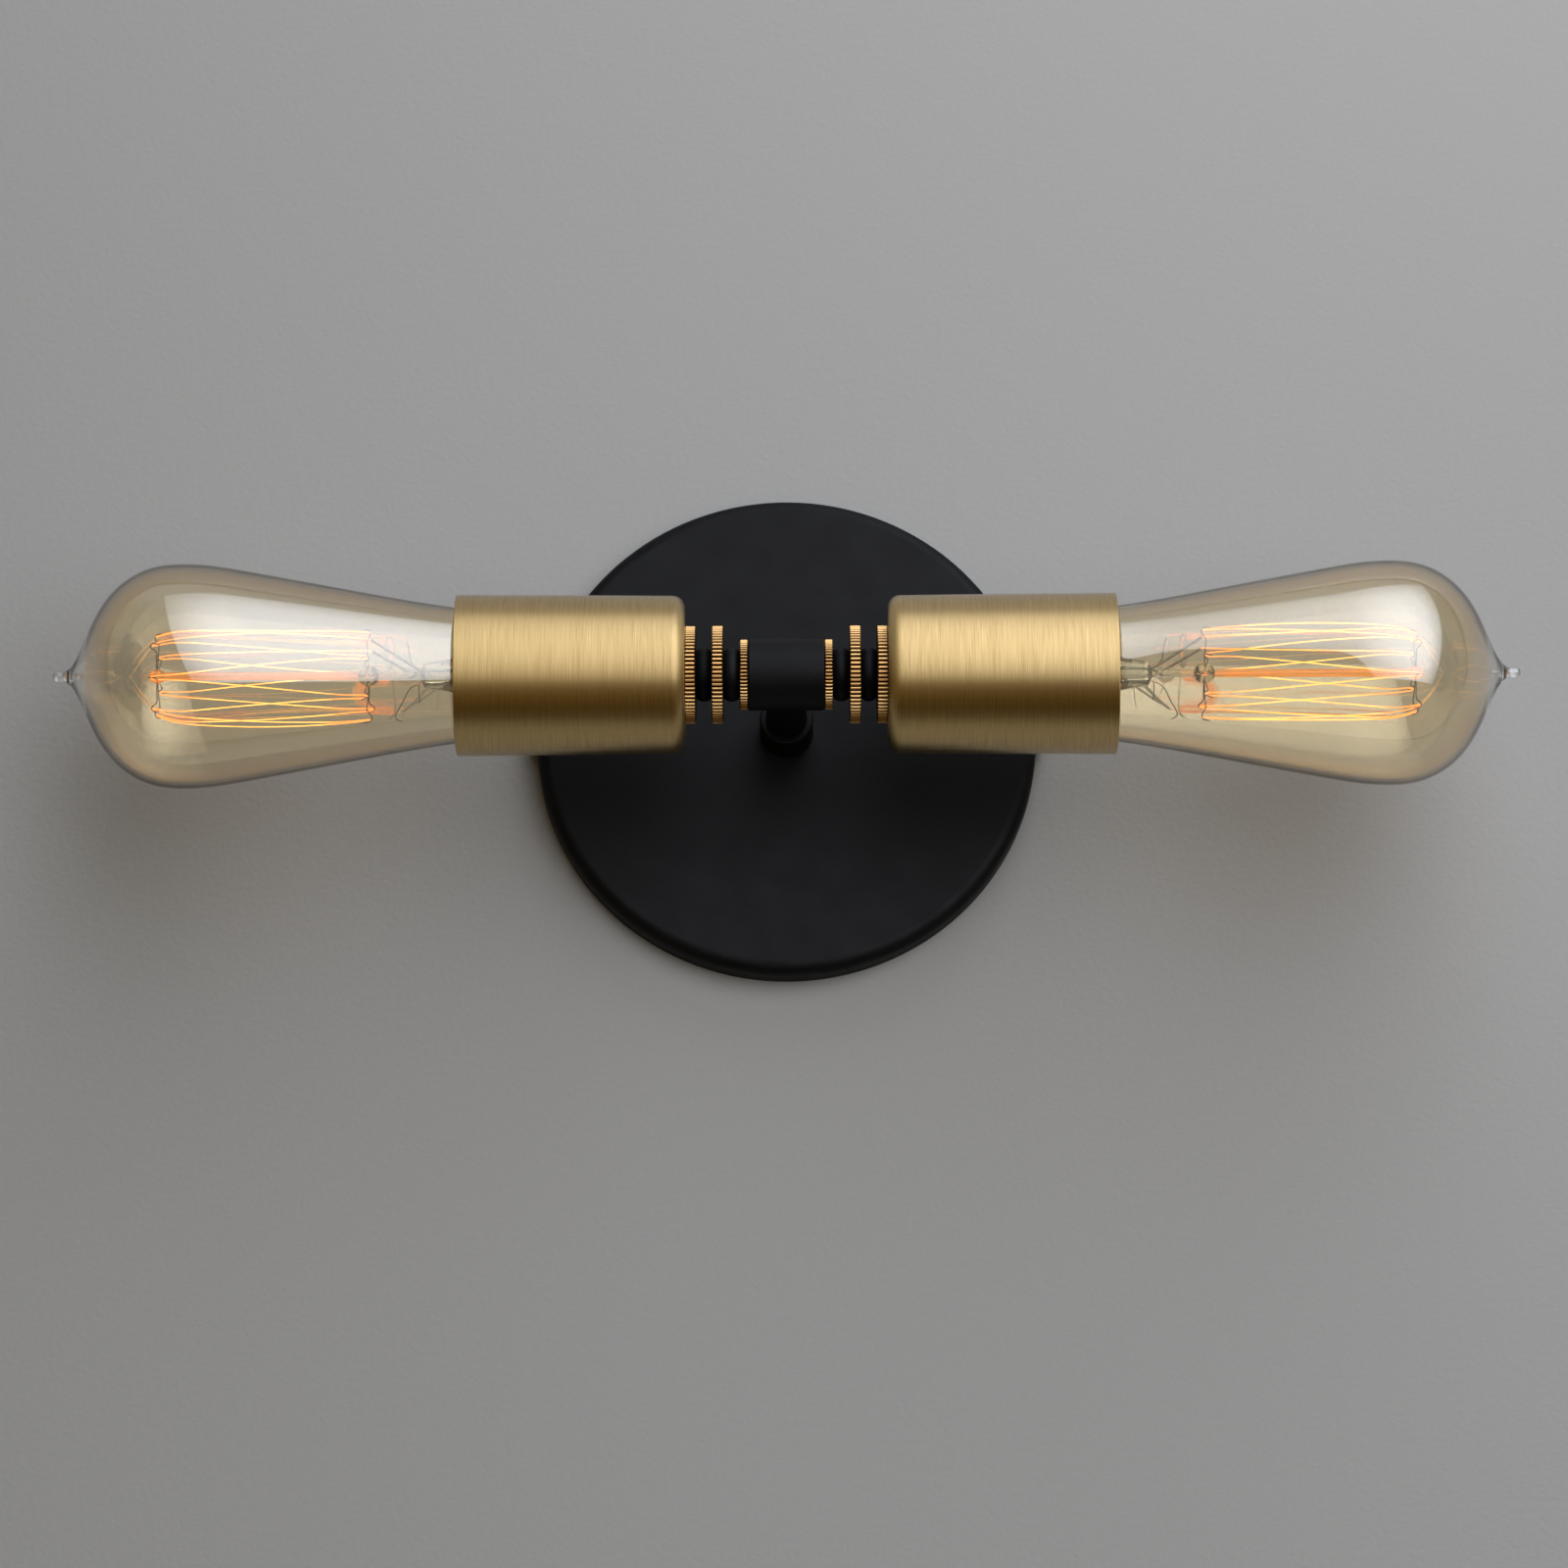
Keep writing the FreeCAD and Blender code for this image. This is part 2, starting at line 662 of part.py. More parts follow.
def build_side_screws():
    outer = s.canopy_diameter / 2
    shank_end = ear_outside - s.strap_wall - s.screw_clearance
    head_end = outer + s.side_screw_head_height
    shank = s.side_screw_diameter / 2
    head = s.side_screw_head / 2
    body = turned("right_side_screw", [
        (ZERO, shank_end),
        (shank, shank_end),
        (shank, outer),
        (head, outer),
        (head, head_end),
        (ZERO, head_end),
    ])
    rounded(body, "side_screw_edge", s.side_screw_head_height * HEAD_ROUNDING_SHARE, [(head, head_end)])
    turn = FreeCAD.Rotation(FreeCAD.Vector(0, 1, 0), 90)
    body.Placement = FreeCAD.Placement(vector(0, -s.side_screw_height.number, 0), turn)
    bind(body, "Placement.Base.y", -s.side_screw_height)
    return [grouped("canopy_side_screws", [body, mirrored(body, "left_side_screw")])]


def build_ground():
    shank = s.ground_screw_diameter / 2
    head = s.ground_screw_head / 2
    seat = s.strap_wall + s.ground_wire_diameter
    top = seat + s.ground_screw_head_height
    screw = turned("ground_screw", [
        (ZERO, ZERO),
        (shank, ZERO),
        (shank, seat),
        (head, seat),
        (head, top),
        (ZERO, top),
    ])
    rounded(screw, "ground_screw_edge", s.ground_screw_head_height * HEAD_ROUNDING_SHARE, [(head, top)])
    on_wall(screw, across=s.ground_screw_place)
    radius = s.ground_wire_diameter.number / 2
    depth = -(s.strap_wall.number + radius)
    beside = s.ground_screw_place.number - shank.number - s.ground_wire_diameter.number / 2
    beside = beside - s.screw_clearance.number
    points = [
        vector(beside, depth, -s.ground_tail.number),
        vector(beside, depth, s.ground_run.number),
        vector(s.ground_end_side.number, depth, (plate_edge - s.ground_end_inset).number),
    ]
    wire = shaped("ground_wire", rod(points, [s.ground_bend.number], radius))
    return [screw, wire]


# Stem with its collar, lock washer and the nuts of all three pipes
def build_stem():
    pipe = tube_piece("stem", s.pipe_bore / 2, pipe_radius, stem_back, stem_front)
    beveled(pipe, "stem_break", s.pipe_break, [(pipe_radius, stem_back)])
    on_wall(pipe)
    collar_end = s.canopy_depth + s.collar_length
    collar_radius = s.collar_diameter / 2
    collar = tube_piece("stem_collar", pipe_hole, collar_radius, s.canopy_depth, collar_end)
    rounded(collar, "collar_edge", s.collar_edge, [(collar_radius, collar_end)])
    on_wall(collar)
    washer = tube_piece("stem_lock_washer", pipe_hole, s.washer_diameter / 2, washer_back, plate_back)
    notch = s.washer_notch / 2
    sketch = circle(washer, "washer_notch_circle", "XY_Plane", pipe_hole, ZERO, notch)
    pocket = washer.newObject("PartDesign::Pocket", "washer_notch")
    pocket.Profile = sketch
    pocket.Midplane = True
    bind(pocket, "Length", 2 * (plate_back + s.overrun))
    spread = washer.newObject("PartDesign::PolarPattern", "washer_notches")
    spread.Originals = [pocket]
    spread.Axis = (sketch, ["N_Axis"])
    spread.Angle = 360
    spread.Occurrences = WASHER_TEETH
    washer.Tip = spread
    doc.recompute()
    on_wall(washer)
    return [pipe, collar, washer]


def build_nut(label):
    """Hexagon lock nut standing on its own XY plane."""
    body = new_body(label)
    sketch = new_sketch(body, label + "_hexagon", "XY_Plane")
    corner = s.nut_flats / (2 * math.cos(math.pi / HEXAGON))
    points = []
    for index in range(HEXAGON):
        angle = 2 * math.pi * index / HEXAGON
        points.append((corner * math.cos(angle), corner * math.sin(angle)))
    for index in range(HEXAGON):
        start = points[index]
        stop = points[(index + 1) % HEXAGON]
        line = Part.LineSegment(
            vector(start[0].number, start[1].number, 0), vector(stop[0].number, stop[1].number, 0)
        )
        sketch.addGeometry(line, False)
    for index in range(HEXAGON):
        sketch.addConstraint(Sketcher.Constraint("Coincident", index, 2, (index + 1) % HEXAGON, 1))
    for index, (across, up) in enumerate(points):
        pin(sketch, "DistanceX", index, 1, across)
        pin(sketch, "DistanceY", index, 1, up if index % (HEXAGON // 2) else ZERO)
    pad = body.newObject("PartDesign::Pad", label + "_pad")
    pad.Profile = sketch
    bind(pad, "Length", s.nut_height)
    doc.recompute()
    drilled(body, label + "_hole", "XY_Plane", ZERO, ZERO, pipe_hole, 2 * (s.nut_height + s.overrun))
    return body


def build_nuts():
    stem_nut = build_nut("stem_nut")
    turn = FreeCAD.Rotation(FreeCAD.Vector(1, 0, 0), 90)
    stem_nut.Placement = FreeCAD.Placement(vector(0, -stem_back.number, 0), turn)
    bind(stem_nut, "Placement.Base.y", -stem_back)
    arm_nut = build_nut("right_arm_nut")
    turn = FreeCAD.Rotation(FreeCAD.Vector(0, 1, 0), 90)
    arm_nut.Placement = FreeCAD.Placement(vector(nut_seat.number, -s.arm_reach.number, 0), turn)
    bind(arm_nut, "Placement.Base.x", nut_seat)
    bind(arm_nut, "Placement.Base.y", -s.arm_reach)
    return [grouped("pipe_lock_nuts", [stem_nut, arm_nut, mirrored(arm_nut, "left_arm_nut")])]


# Tee between stem and arms
def build_tee():
    radius = s.tee_diameter / 2
    body = tube_piece("tee", pipe_hole, radius, -tee_end, tee_end)
    rounded(body, "tee_edges", s.tee_edge, [(radius, -tee_end), (radius, tee_end)])
    drilled(body, "tee_stem_hole", "XZ_Plane", ZERO, ZERO, pipe_hole, s.tee_diameter, both=False)
    on_arm(body)
    return [body]


# Knurled brass rings and black spacers of an arm
def build_ring(label, diameter, start, end, teeth):
    radius = diameter / 2
    body = tube_piece(label, pipe_hole, radius, start, end)
    beveled(body, label + "_break", s.knurl_edge, [(radius, start), (radius, end)])
    root = radius - s.knurl_depth
    spread = math.tan(math.radians(KNURL_HALF_ANGLE))
    outside = radius + s.knurl_depth / 2
    half = (outside - root) * spread
    sketch = outline(body, label + "_tooth_gap", "XY_Plane", [
        (root, ZERO),
        (outside, -half),
        (outside, half),
    ])
    gap = body.newObject("PartDesign::Pocket", label + "_gap")
    gap.Profile = sketch
    gap.Midplane = True
    bind(gap, "Length", 2 * (end + s.overrun))
    pattern = body.newObject("PartDesign::PolarPattern", label + "_teeth")
    pattern.Originals = [gap]
    pattern.Axis = (sketch, ["N_Axis"])
    pattern.Angle = 360
    pattern.Occurrences = teeth
    body.Tip = pattern
    doc.recompute()
    on_arm(body)
    return body


def build_bead(label, start, end):
    edge = s.bead_edge_diameter / 2
    bulge = s.bead_diameter / 2 - edge
    body = turned(label, [
        (pipe_hole, start),
        (edge, start, bulge),
        (edge, end),
        (pipe_hole, end),
    ])
    on_arm(body)
    return body


def build_arm():
    pipe = tube_piece("right_arm_pipe", s.pipe_bore / 2, pipe_radius, s.arm_start, arm_end)
    beveled(pipe, "arm_pipe_break", s.pipe_break, [(pipe_radius, s.arm_start), (pipe_radius, arm_end)])
    on_arm(pipe)
    return [
        pipe,
        build_ring("right_tee_ring", s.tee_ring_diameter, tee_end, tee_ring_end, TEE_RING_TEETH),
        build_bead("right_inner_spacer", tee_ring_end, inner_bead_end),
        build_ring(
            "right_middle_ring", s.middle_ring_diameter, inner_bead_end, middle_ring_end, LARGE_RING_TEETH
        ),
        build_bead("right_outer_spacer", middle_ring_end, outer_bead_end),
        build_ring("right_cup_ring", s.cup_ring_diameter, outer_bead_end, cup_base, LARGE_RING_TEETH),
    ]


# Brass cup
def build_cup():
    base = s.cup_base_diameter / 2
    mouth = s.cup_mouth_diameter / 2
    wall = s.cup_wall
    body = turned("right_cup", [
        (pipe_hole, cup_base),
        (base, cup_base),
        (mouth, cup_mouth),
        (mouth - wall, cup_mouth),
        (base - wall, cup_floor),
        (pipe_hole, cup_floor),
    ])
    rounded(body, "cup_base_edge", s.cup_base_radius, [(base, cup_base)])
    rounded(body, "cup_floor_edge", s.cup_base_radius - wall, [(base - wall, cup_floor)])
    rounded(body, "cup_mouth_edge", s.cup_lip, [(mouth, cup_mouth), (mouth - wall, cup_mouth)])
    on_arm(body)
    return [body]


# Lamp holder: bracket, ceramic body, screw shell, contact and terminals
def build_bracket():
    wall = s.bracket_wall
    leg = bracket_leg
    foot = bracket_foot
    inside = leg - wall
    under = holder_back - wall
    web = cup_floor + wall
    body = padded("right_socket_bracket", "XZ_Plane", [
        (-leg, cup_floor),
        (leg, cup_floor),
        (leg, under),
        (foot, under),
        (foot, holder_back),
        (inside, holder_back),
        (inside, web),
        (-inside, web),
        (-inside, holder_back),
        (-foot, holder_back),
        (-foot, under),
        (-leg, under),
    ], s.bracket_width)
    reach = 2 * (holder_back + s.overrun)
    drilled(body, "bracket_pipe_hole", "XY_Plane", ZERO, ZERO, pipe_hole, reach)
    hole = s.bracket_screw_diameter / 2 + s.screw_clearance
    drilled(body, "bracket_hole_a", "XY_Plane", bracket_screw_place, ZERO, hole, reach)
    drilled(body, "bracket_hole_b", "XY_Plane", -bracket_screw_place, ZERO, hole, reach)
    on_arm(body)
    return [body]


def build_bracket_screws():
    """Two screws from the bracket's feet into each lamp holder."""
    shank = s.bracket_screw_diameter / 2
    head = s.bracket_screw_head / 2
    seat = holder_back - s.bracket_wall
    back = seat - s.bracket_screw_head_height
    tip = seat + s.bracket_screw_length
    screws = []
    for side, name in ((1, "right_bracket_screw_a"), (-1, "right_bracket_screw_b")):
        body = turned(name, [
            (ZERO, back),
            (head, back),
            (head, seat),
            (shank, seat),
            (shank, tip),
            (ZERO, tip),
        ])
        rounding = s.bracket_screw_head_height * HEAD_ROUNDING_SHARE
        rounded(body, name + "_edge", rounding, [(head, back)])
        on_arm(body)
        bind(body, "Placement.Base.z", side * bracket_screw_place)
        screws.append(body)
    doc.recompute()
    copies = [mirrored(body, body.Label.replace("right", "left")) for body in screws]
    return [grouped("socket_bracket_screws", screws + copies)]


def build_holder():
    outer = holder_radius
    bore = s.shell_diameter / 2 + s.shell_clearance
    well = s.holder_well_diameter / 2
    body = turned("right_socket_body", [
        (ZERO, holder_back),
        (outer, holder_back),
        (outer, holder_front),
        (bore, holder_front),
        (bore, shell_seat),
        (well, shell_seat),
        (well, holder_contact),
        (ZERO, holder_contact),
    ])
    edge = (outer - bore) * HOLDER_ROUNDING_SHARE
    rounded(body, "socket_body_edges", edge, [(outer, holder_back), (outer, holder_front)])
    screw = s.bracket_screw_diameter / 2 + s.screw_clearance
    terminal = s.terminal_screw_diameter / 2 + s.screw_clearance
    screw_end = holder_back + s.bracket_screw_length
    terminal_end = holder_back + s.terminal_screw_depth + s.screw_clearance
    aside = terminal_aside()
    holes = [
        ("a", bracket_screw_place, ZERO, screw, 2 * screw_end),
        ("b", -bracket_screw_place, ZERO, screw, 2 * screw_end),
        ("c", aside, s.terminal_place, terminal, 2 * terminal_end),
        ("d", -aside, -s.terminal_place, terminal, 2 * terminal_end),
    ]
    for name, across, up, radius, length in holes:
        drilled(body, "socket_hole_" + name, "XY_Plane", across, up, radius, length)
    on_arm(body)
    return [body]


def terminal_aside():
    """How far a terminal screw stands beside the line of its wire."""
    return (s.terminal_screw_diameter + s.core_diameter) / 2 + s.screw_clearance - s.wire_apart


def build_terminals():
    """Plate and screw for each of the two wires of a lamp holder."""
    plate_back_height = holder_back - s.terminal_plate_wall
    seat = plate_back_height - s.core_diameter
    top = seat - s.terminal_head_height
    tip = holder_back + s.terminal_screw_depth
    shank = s.terminal_screw_diameter / 2
    head = s.terminal_head / 2
    screws = []
    plates = []
    for side, mark in ((1, "a"), (-1, "b")):
        across = side * terminal_aside()
        up = side * s.terminal_place
        screw = turned("right_terminal_screw_" + mark, [
            (ZERO, top),
            (head, top),
            (head, seat),
            (shank, seat),
            (shank, tip),
            (ZERO, tip),
        ])
        rounding = s.terminal_head_height * HEAD_ROUNDING_SHARE
        rounded(screw, "terminal_screw_edge_" + mark, rounding, [(head, top)])
        plate = padded("right_terminal_plate_" + mark, "XY_Plane", [
            (-s.terminal_plate_width / 2, -s.terminal_plate_length / 2),
            (s.terminal_plate_width / 2, -s.terminal_plate_length / 2),
            (s.terminal_plate_width / 2, s.terminal_plate_length / 2),
            (-s.terminal_plate_width / 2, s.terminal_plate_length / 2),
        ], s.terminal_plate_wall)
        drilled(
            plate, "terminal_plate_hole_" + mark, "XY_Plane", ZERO, ZERO,
            shank + s.screw_clearance, 2 * (s.terminal_plate_wall + s.overrun),
        )
        middle = holder_back - s.terminal_plate_wall / 2
        for thing, height in ((screw, ZERO), (plate, middle)):
            on_arm(thing)
            bind(thing, "Placement.Base.x", height)
            bind(thing, "Placement.Base.y", up - s.arm_reach)
            bind(thing, "Placement.Base.z", -across)
        screws.append(screw)
        plates.append(plate)
    doc.recompute()
    left_screws = [mirrored(thing, thing.Label.replace("right", "left")) for thing in screws]
    left_plates = [mirrored(thing, thing.Label.replace("right", "left")) for thing in plates]
    return [
        grouped("socket_terminal_screws", screws + left_screws),
        grouped("socket_terminal_plates", plates + left_plates),
    ]


def build_contact_strip():
    foot = s.contact_foot
    knee = s.contact_knee
    flat = s.contact_flat
    wall = s.contact_wall
    floor = holder_contact
    top = floor + s.contact_rise
    body = padded("right_socket_contact", "XZ_Plane", [
        (-foot, floor),
        (-knee, floor),
        (-flat, top - wall),
        (flat, top - wall),
        (knee, floor),
        (foot, floor),
        (foot, floor + wall),
        (knee + wall / 2, floor + wall),
        (flat + wall / 2, top),
        (-flat - wall / 2, top),
        (-knee - wall / 2, floor + wall),
        (-foot, floor + wall),
    ], s.contact_width)
    on_arm(body)
    return [body]


def thread_rib(start, turns, round_radius):
    """Round rib along the lamp thread, from a height of the arm's own axis."""
    pitch = s.thread_pitch.number
    radius = s.thread_centre_diameter.number / 2
    helix = Part.makeHelix(pitch, pitch * turns, radius)
    slope = vector(0, 1, pitch / (2 * math.pi * radius))
    section = Part.Wire([Part.makeCircle(round_radius, vector(radius, 0, 0), slope)])
    sweep = Part.BRepOffsetAPI.MakePipeShell(Part.Wire(helix.Edges))
    sweep.setFrenetMode(True)
    sweep.add(section)
    sweep.build()
    sweep.makeSolid()
    rib = sweep.shape()
    rib.translate(vector(0, 0, start))
    return rib


def revolved_face(corners):
    """Solid turned about Z from corners of radius and height."""
    points = [vector(as_size(radius).number, 0, as_size(height).number) for radius, height in corners]
    face = Part.Face(Part.makePolygon(points + [points[0]]))
    return face.revolve(vector(0, 0, 0), vector(0, 0, 1), 360)


def threaded(tube):
    """The tube with the lamp's thread cut into its bore, open at the front."""
    start = lamp_foot + s.thread_start - s.thread_pitch
    turns = math.ceil((shell_front - start).number / s.thread_pitch.number)
    depth = s.thread_round.number + s.thread_play.number
    for past in TURNS_PAST_FRONT:
        shell = tube.cut(thread_rib(start.number, turns + past, depth))
        if shell.isValid() and shell.Volume < THREAD_CUT_SHARE * tube.Volume:
            return shell
    raise RuntimeError("the thread of the shell cuts nothing")


def build_shell(side_name, side):
    outer = s.shell_diameter / 2
    bore = s.shell_bore / 2
    tube = revolved_face([
        (s.shell_floor_hole / 2, shell_seat),
        (outer, shell_seat),
        (outer, shell_front),
        (bore, shell_front),
        (bore, shell_seat + s.shell_floor),
        (s.shell_floor_hole / 2, shell_seat + s.shell_floor),
    ])
    shell = shaped(side_name + "_socket_shell", threaded(tube))
    on_arm(shell, side)
    return [shell]


# Lead wires from the lamp holders through arm, tee and stem
def build_wires():
    reach = s.arm_reach.number
    apart = s.wire_apart.number
    run_height = (holder_back - s.terminal_plate_wall - s.core_diameter / 2).number
    nodes = []
    ends = []
    for name, sign in (("line", 1), ("neutral", -1)):
        start = vector(run_height, -reach + sign * s.wire_bare_start.number, sign * apart)
        arm_line = -reach + sign * apart
        side = s.wire_side.number
        back = -wire_height.number
        wire_run = (plate_edge - s.wire_run_inset).number
        wire_end_up = (plate_edge - s.wire_end_inset).number
        route = [
            start,
            vector(run_height, arm_line, sign * apart),
            vector(side, arm_line, sign * apart),
            vector(side, back, sign * apart),
            vector(side, back, sign * wire_run),
            vector(s.wire_end_side.number, back, sign * wire_end_up),
        ]
        bends = [
            s.wire_terminal_bend.number,
            s.wire_tee_bend.number,
            s.wire_stem_bend.number,
            s.wire_end_bend.number,
        ]
        wire = shaped("right_" + name + "_wire", rod(route, bends, s.wire_diameter.number / 2))
        nodes.append(wire)
        core = s.core_diameter.number / 2
        outward = vector(0, sign, 0)
        length = s.core_reach.number - s.wire_bare_start.number
        inner_end = Part.makeCylinder(core, length, start, outward)
        last = (route[-1] - route[-2]).normalize()
        outer_end = Part.makeCylinder(core, s.core_end.number, route[-1], last)
        ends.append(shaped("right_" + name + "_holder_core", inner_end))
        ends.append(shaped("right_" + name + "_plate_core", outer_end))
    copies = [mirrored(end, end.Label.replace("right", "left")) for end in ends]
    return nodes, [grouped("bare_wire_ends", ends + copies)]


# Lamp: glass, inner glass, wires, filament, cap and contact
def build_glass():
    length = s.lamp_length.number
    foot = lamp_foot.number
    radii = (
        (GLASS_FOOT_SHARES, s.cap_diameter / 2),
        (GLASS_NECK_SHARES, s.cup_mouth_diameter / 2 - s.cup_wall),
        (GLASS_BULB_SHARES, s.lamp_diameter / 2),
    )
    wall = s.glass_wall.number
    nib = s.nib_radius.number
    outside = [
        vector(share * radius.number, 0, foot + place * length)
        for shares, radius in radii
        for place, share in shares
    ]
    nib_start = vector(nib, 0, foot + length - nib)
    outside.append(nib_start)
    inside = [vector(point.x - wall, 0, point.z) for point in outside[:-1 - GLASS_TIP_COUNT]]
    inside_end = vector(0, 0, foot + GLASS_INSIDE_END_SHARE * length)
    along = vector(0, 0, 1)
    outer_curve = Part.BSplineCurve()
    outer_curve.interpolate(Points=outside[1:])
    inner_curve = Part.BSplineCurve()
    inner_curve.interpolate(Points=inside[1:] + [inside_end])
    tip = vector(0, 0, foot + length)
    half = nib * math.sqrt(0.5)
    round_middle = vector(half, 0, nib_start.z + half)
    edges = [
        Part.LineSegment(inside[0], outside[0]).toShape(),
        Part.LineSegment(outside[0], outside[1]).toShape(),
        outer_curve.toShape(),
        Part.Arc(nib_start, round_middle, tip).toShape(),
        Part.LineSegment(tip, inside_end).toShape(),
        inner_curve.toShape(),
        Part.LineSegment(inside[1], inside[0]).toShape(),
    ]
    face = Part.Face(Part.Wire(Part.__sortEdges__(edges)))
    glass = shaped("right_bulb_glass", face.revolve(vector(0, 0, 0), along, 360))
    on_arm(glass)
    return glass


def hook_angles():
    """Angles of the corners by the end bead and by the near bead."""
    step = 360.0 / HOOKS
    far = [FIRST_HOOK_ANGLE + step * index for index in range(HOOKS)]
    near = [FIRST_HOOK_ANGLE + step * (index + 0.5) for index in range(HOOKS - 1)]
    return far, near


def lead_ends():
    """Where the two lead wires meet the filament."""
    gap = FIRST_HOOK_ANGLE - 180.0 / HOOKS
    height = (lamp_foot + s.near_bead_height).number
    radius = s.near_hook_radius.number
    return [polar(radius, gap + turn, height) for turn in (LEAD_HALF_ANGLE, -LEAD_HALF_ANGLE)]


def build_filament():
    far, near = hook_angles()
    near_height = (lamp_foot + s.near_bead_height).number
    far_height = (lamp_foot + s.far_bead_height).number
    near_radius = s.near_hook_radius.number
    far_radius = s.far_hook_radius.number
    turn = s.filament_turn.number
    first, last = lead_ends()
    path = [first]
    for index in range(HOOKS):
        spread = math.degrees(turn / far_radius)
        path.append(polar(far_radius, far[index] - spread, far_height + turn))
        path.append(polar(far_radius, far[index] + spread, far_height + turn))
        if index < HOOKS - 1:
            spread = math.degrees(turn / near_radius)
            path.append(polar(near_radius, near[index] - spread, near_height - turn))
            path.append(polar(near_radius, near[index] + spread, near_height - turn))
    path.append(last)
    bends = [HOOK_BEND_SHARE * turn] * (len(path) - 2)
    filament = shaped("right_bulb_filament", rod(path, bends, s.filament_diameter.number / 2))
    on_arm(filament)
    return filament


def build_supports():
    """Straight support wires from the beads to each corner of the filament."""
    far, near = hook_angles()
    radius = s.support_diameter.number / 2
    rods = []
    rows = (
        (far, s.far_hook_radius, s.far_bead_height, s.far_bead_diameter),
        (near, s.near_hook_radius, s.near_bead_height, s.near_bead_diameter),
    )
    for angles, hook, height, bead in rows:
        start = bead.number / 2 - s.support_reach.number
        length = hook.number + s.support_reach.number - start
        for angle in angles:
            out = polar(1, angle, 0)
            foot = out * start + vector(0, 0, (lamp_foot + height).number)
            rods.append(Part.makeCylinder(radius, length, foot, out))
    supports = shaped("right_bulb_supports", Part.makeCompound(rods))
    on_arm(supports)
    return supports


def build_leads():
    radius = s.lead_diameter.number / 2
    start = (lamp_foot + s.lead_start).number
    bend_height = (lamp_foot + s.pinch_top).number + s.lead_diameter.number
    gap_angle = FIRST_HOOK_ANGLE - 180.0 / HOOKS
    leads = []
    for end, turn in zip(lead_ends(), (1, -1)):
        foot = polar(s.lead_apart.number, gap_angle + 90 * turn, 0)
        knee = foot + vector(0, 0, bend_height)
        heading = (end - knee).normalize()
        stop = end - heading * (s.filament_diameter.number + s.lead_gap.number)
        route = [foot + vector(0, 0, start), knee, stop]
        leads.append(rod(route, [s.lead_bend.number], radius))
    wires = shaped("right_bulb_lead_wires", Part.makeCompound(leads))
    on_arm(wires)
    return wires


def build_inner_glass(supports, leads):
    """Flared glass tube with its pinch, rod and two beads."""
    foot = lamp_foot + s.flare_foot
    funnel = foot + s.flare_height
    tube = s.stem_glass_diameter / 2
    bore = s.stem_glass_bore / 2
    wall = tube - bore
    rod_radius = s.rod_diameter / 2
    pinch = lamp_foot + s.pinch_start
    pinch_top = lamp_foot + s.pinch_top
    near = lamp_foot + s.near_bead_height
    far = lamp_foot + s.far_bead_height
    near_bulge = s.near_bead_diameter / 2 - rod_radius
    near_half = s.near_bead_diameter / 2
    far_half = s.far_bead_diameter / 2
    far_bulge = far_half - rod_radius
    body = turned("right_inner_glass", [
        (s.flare_diameter / 2 - wall, foot),
        (s.flare_diameter / 2, foot),
        (tube, funnel),
        (tube, pinch),
        (s.pinch_diameter / 2, pinch_top - wall),
        (s.pinch_diameter / 2, pinch_top),
        (rod_radius, pinch_top + wall),
        (rod_radius, near - near_half, near_bulge),
        (rod_radius, near + near_half),
        (rod_radius, far - far_half, far_bulge),
        (rod_radius, far + far_half),
        (ZERO, far + far_half),
        (ZERO, pinch + wall),
        (bore, pinch - wall),
        (bore, funnel - wall),
    ])
    on_arm(body)
    doc.recompute()
    wires = supports.Shape.Solids + leads.Shape.Solids
    return shaped("right_bulb_mount", body.Shape.cut(wires))


def build_cap(side_name, side):
    foot = cap_start
    wall = s.cap_wall
    outer = s.cap_diameter / 2
    rim = s.cap_rim_diameter / 2
    closed = s.cap_foot_diameter / 2
    shoulder = foot + s.cap_shoulder
    skin = revolved_face([
        (closed - wall, foot),
        (closed, foot),
        (outer, shoulder),
        (outer, cap_slope_start),
        (rim, cap_rim_start),
        (rim, cap_end),
        (rim - wall, cap_end),
        (rim - wall, cap_rim_start),
        (outer - wall, cap_slope_start),
        (outer - wall, shoulder),
        (closed - wall, foot + wall),
    ])
    start = (lamp_foot + s.thread_start).number
    rib = thread_rib(start, THREAD_TURNS, s.thread_round.number)
    inside = Part.makeCylinder((outer - wall).number, s.lamp_length.number)
    cap = shaped(side_name + "_bulb_cap", skin.fuse(rib.cut(inside)))
    on_arm(cap, side)
    return cap


def build_insulator():
    start = lamp_foot + s.lamp_contact_height
    cone_end = start + s.insulator_cone
    top = start + s.insulator_height
    bore = s.insulator_bore / 2
    body = turned("right_bulb_insulator", [
        (bore, start),
        (s.insulator_foot / 2, start),
        (s.insulator_top / 2, cone_end),
        (s.insulator_top / 2, top),
        (bore, top),
    ])
    on_arm(body)
    return body


def build_contact():
    radius = s.lamp_contact_diameter / 2
    top = lamp_foot + s.lamp_contact_height
    rim = top - s.lamp_contact_edge_height
    body = turned("right_bulb_contact", [
        (ZERO, lamp_foot),
        (radius / 2, lamp_foot),
        (radius, rim),
        (radius, top),
        (ZERO, top),
    ])
    on_arm(body)
    return body


def build_lamp():
    supports = build_supports()
    leads = build_leads()
    doc.recompute()
    return [
        build_glass(),
        build_inner_glass(supports, leads),
        build_filament(),
        supports,
        leads,
        build_insulator(),
        build_contact(),
    ]


def check_document():
    """Stops where an object has failed or a shape is missing."""
    for thing in doc.Objects:
        if "Invalid" in thing.State or "Error" in thing.State:
            raise RuntimeError(thing.Label + " failed: " + str(thing.State))


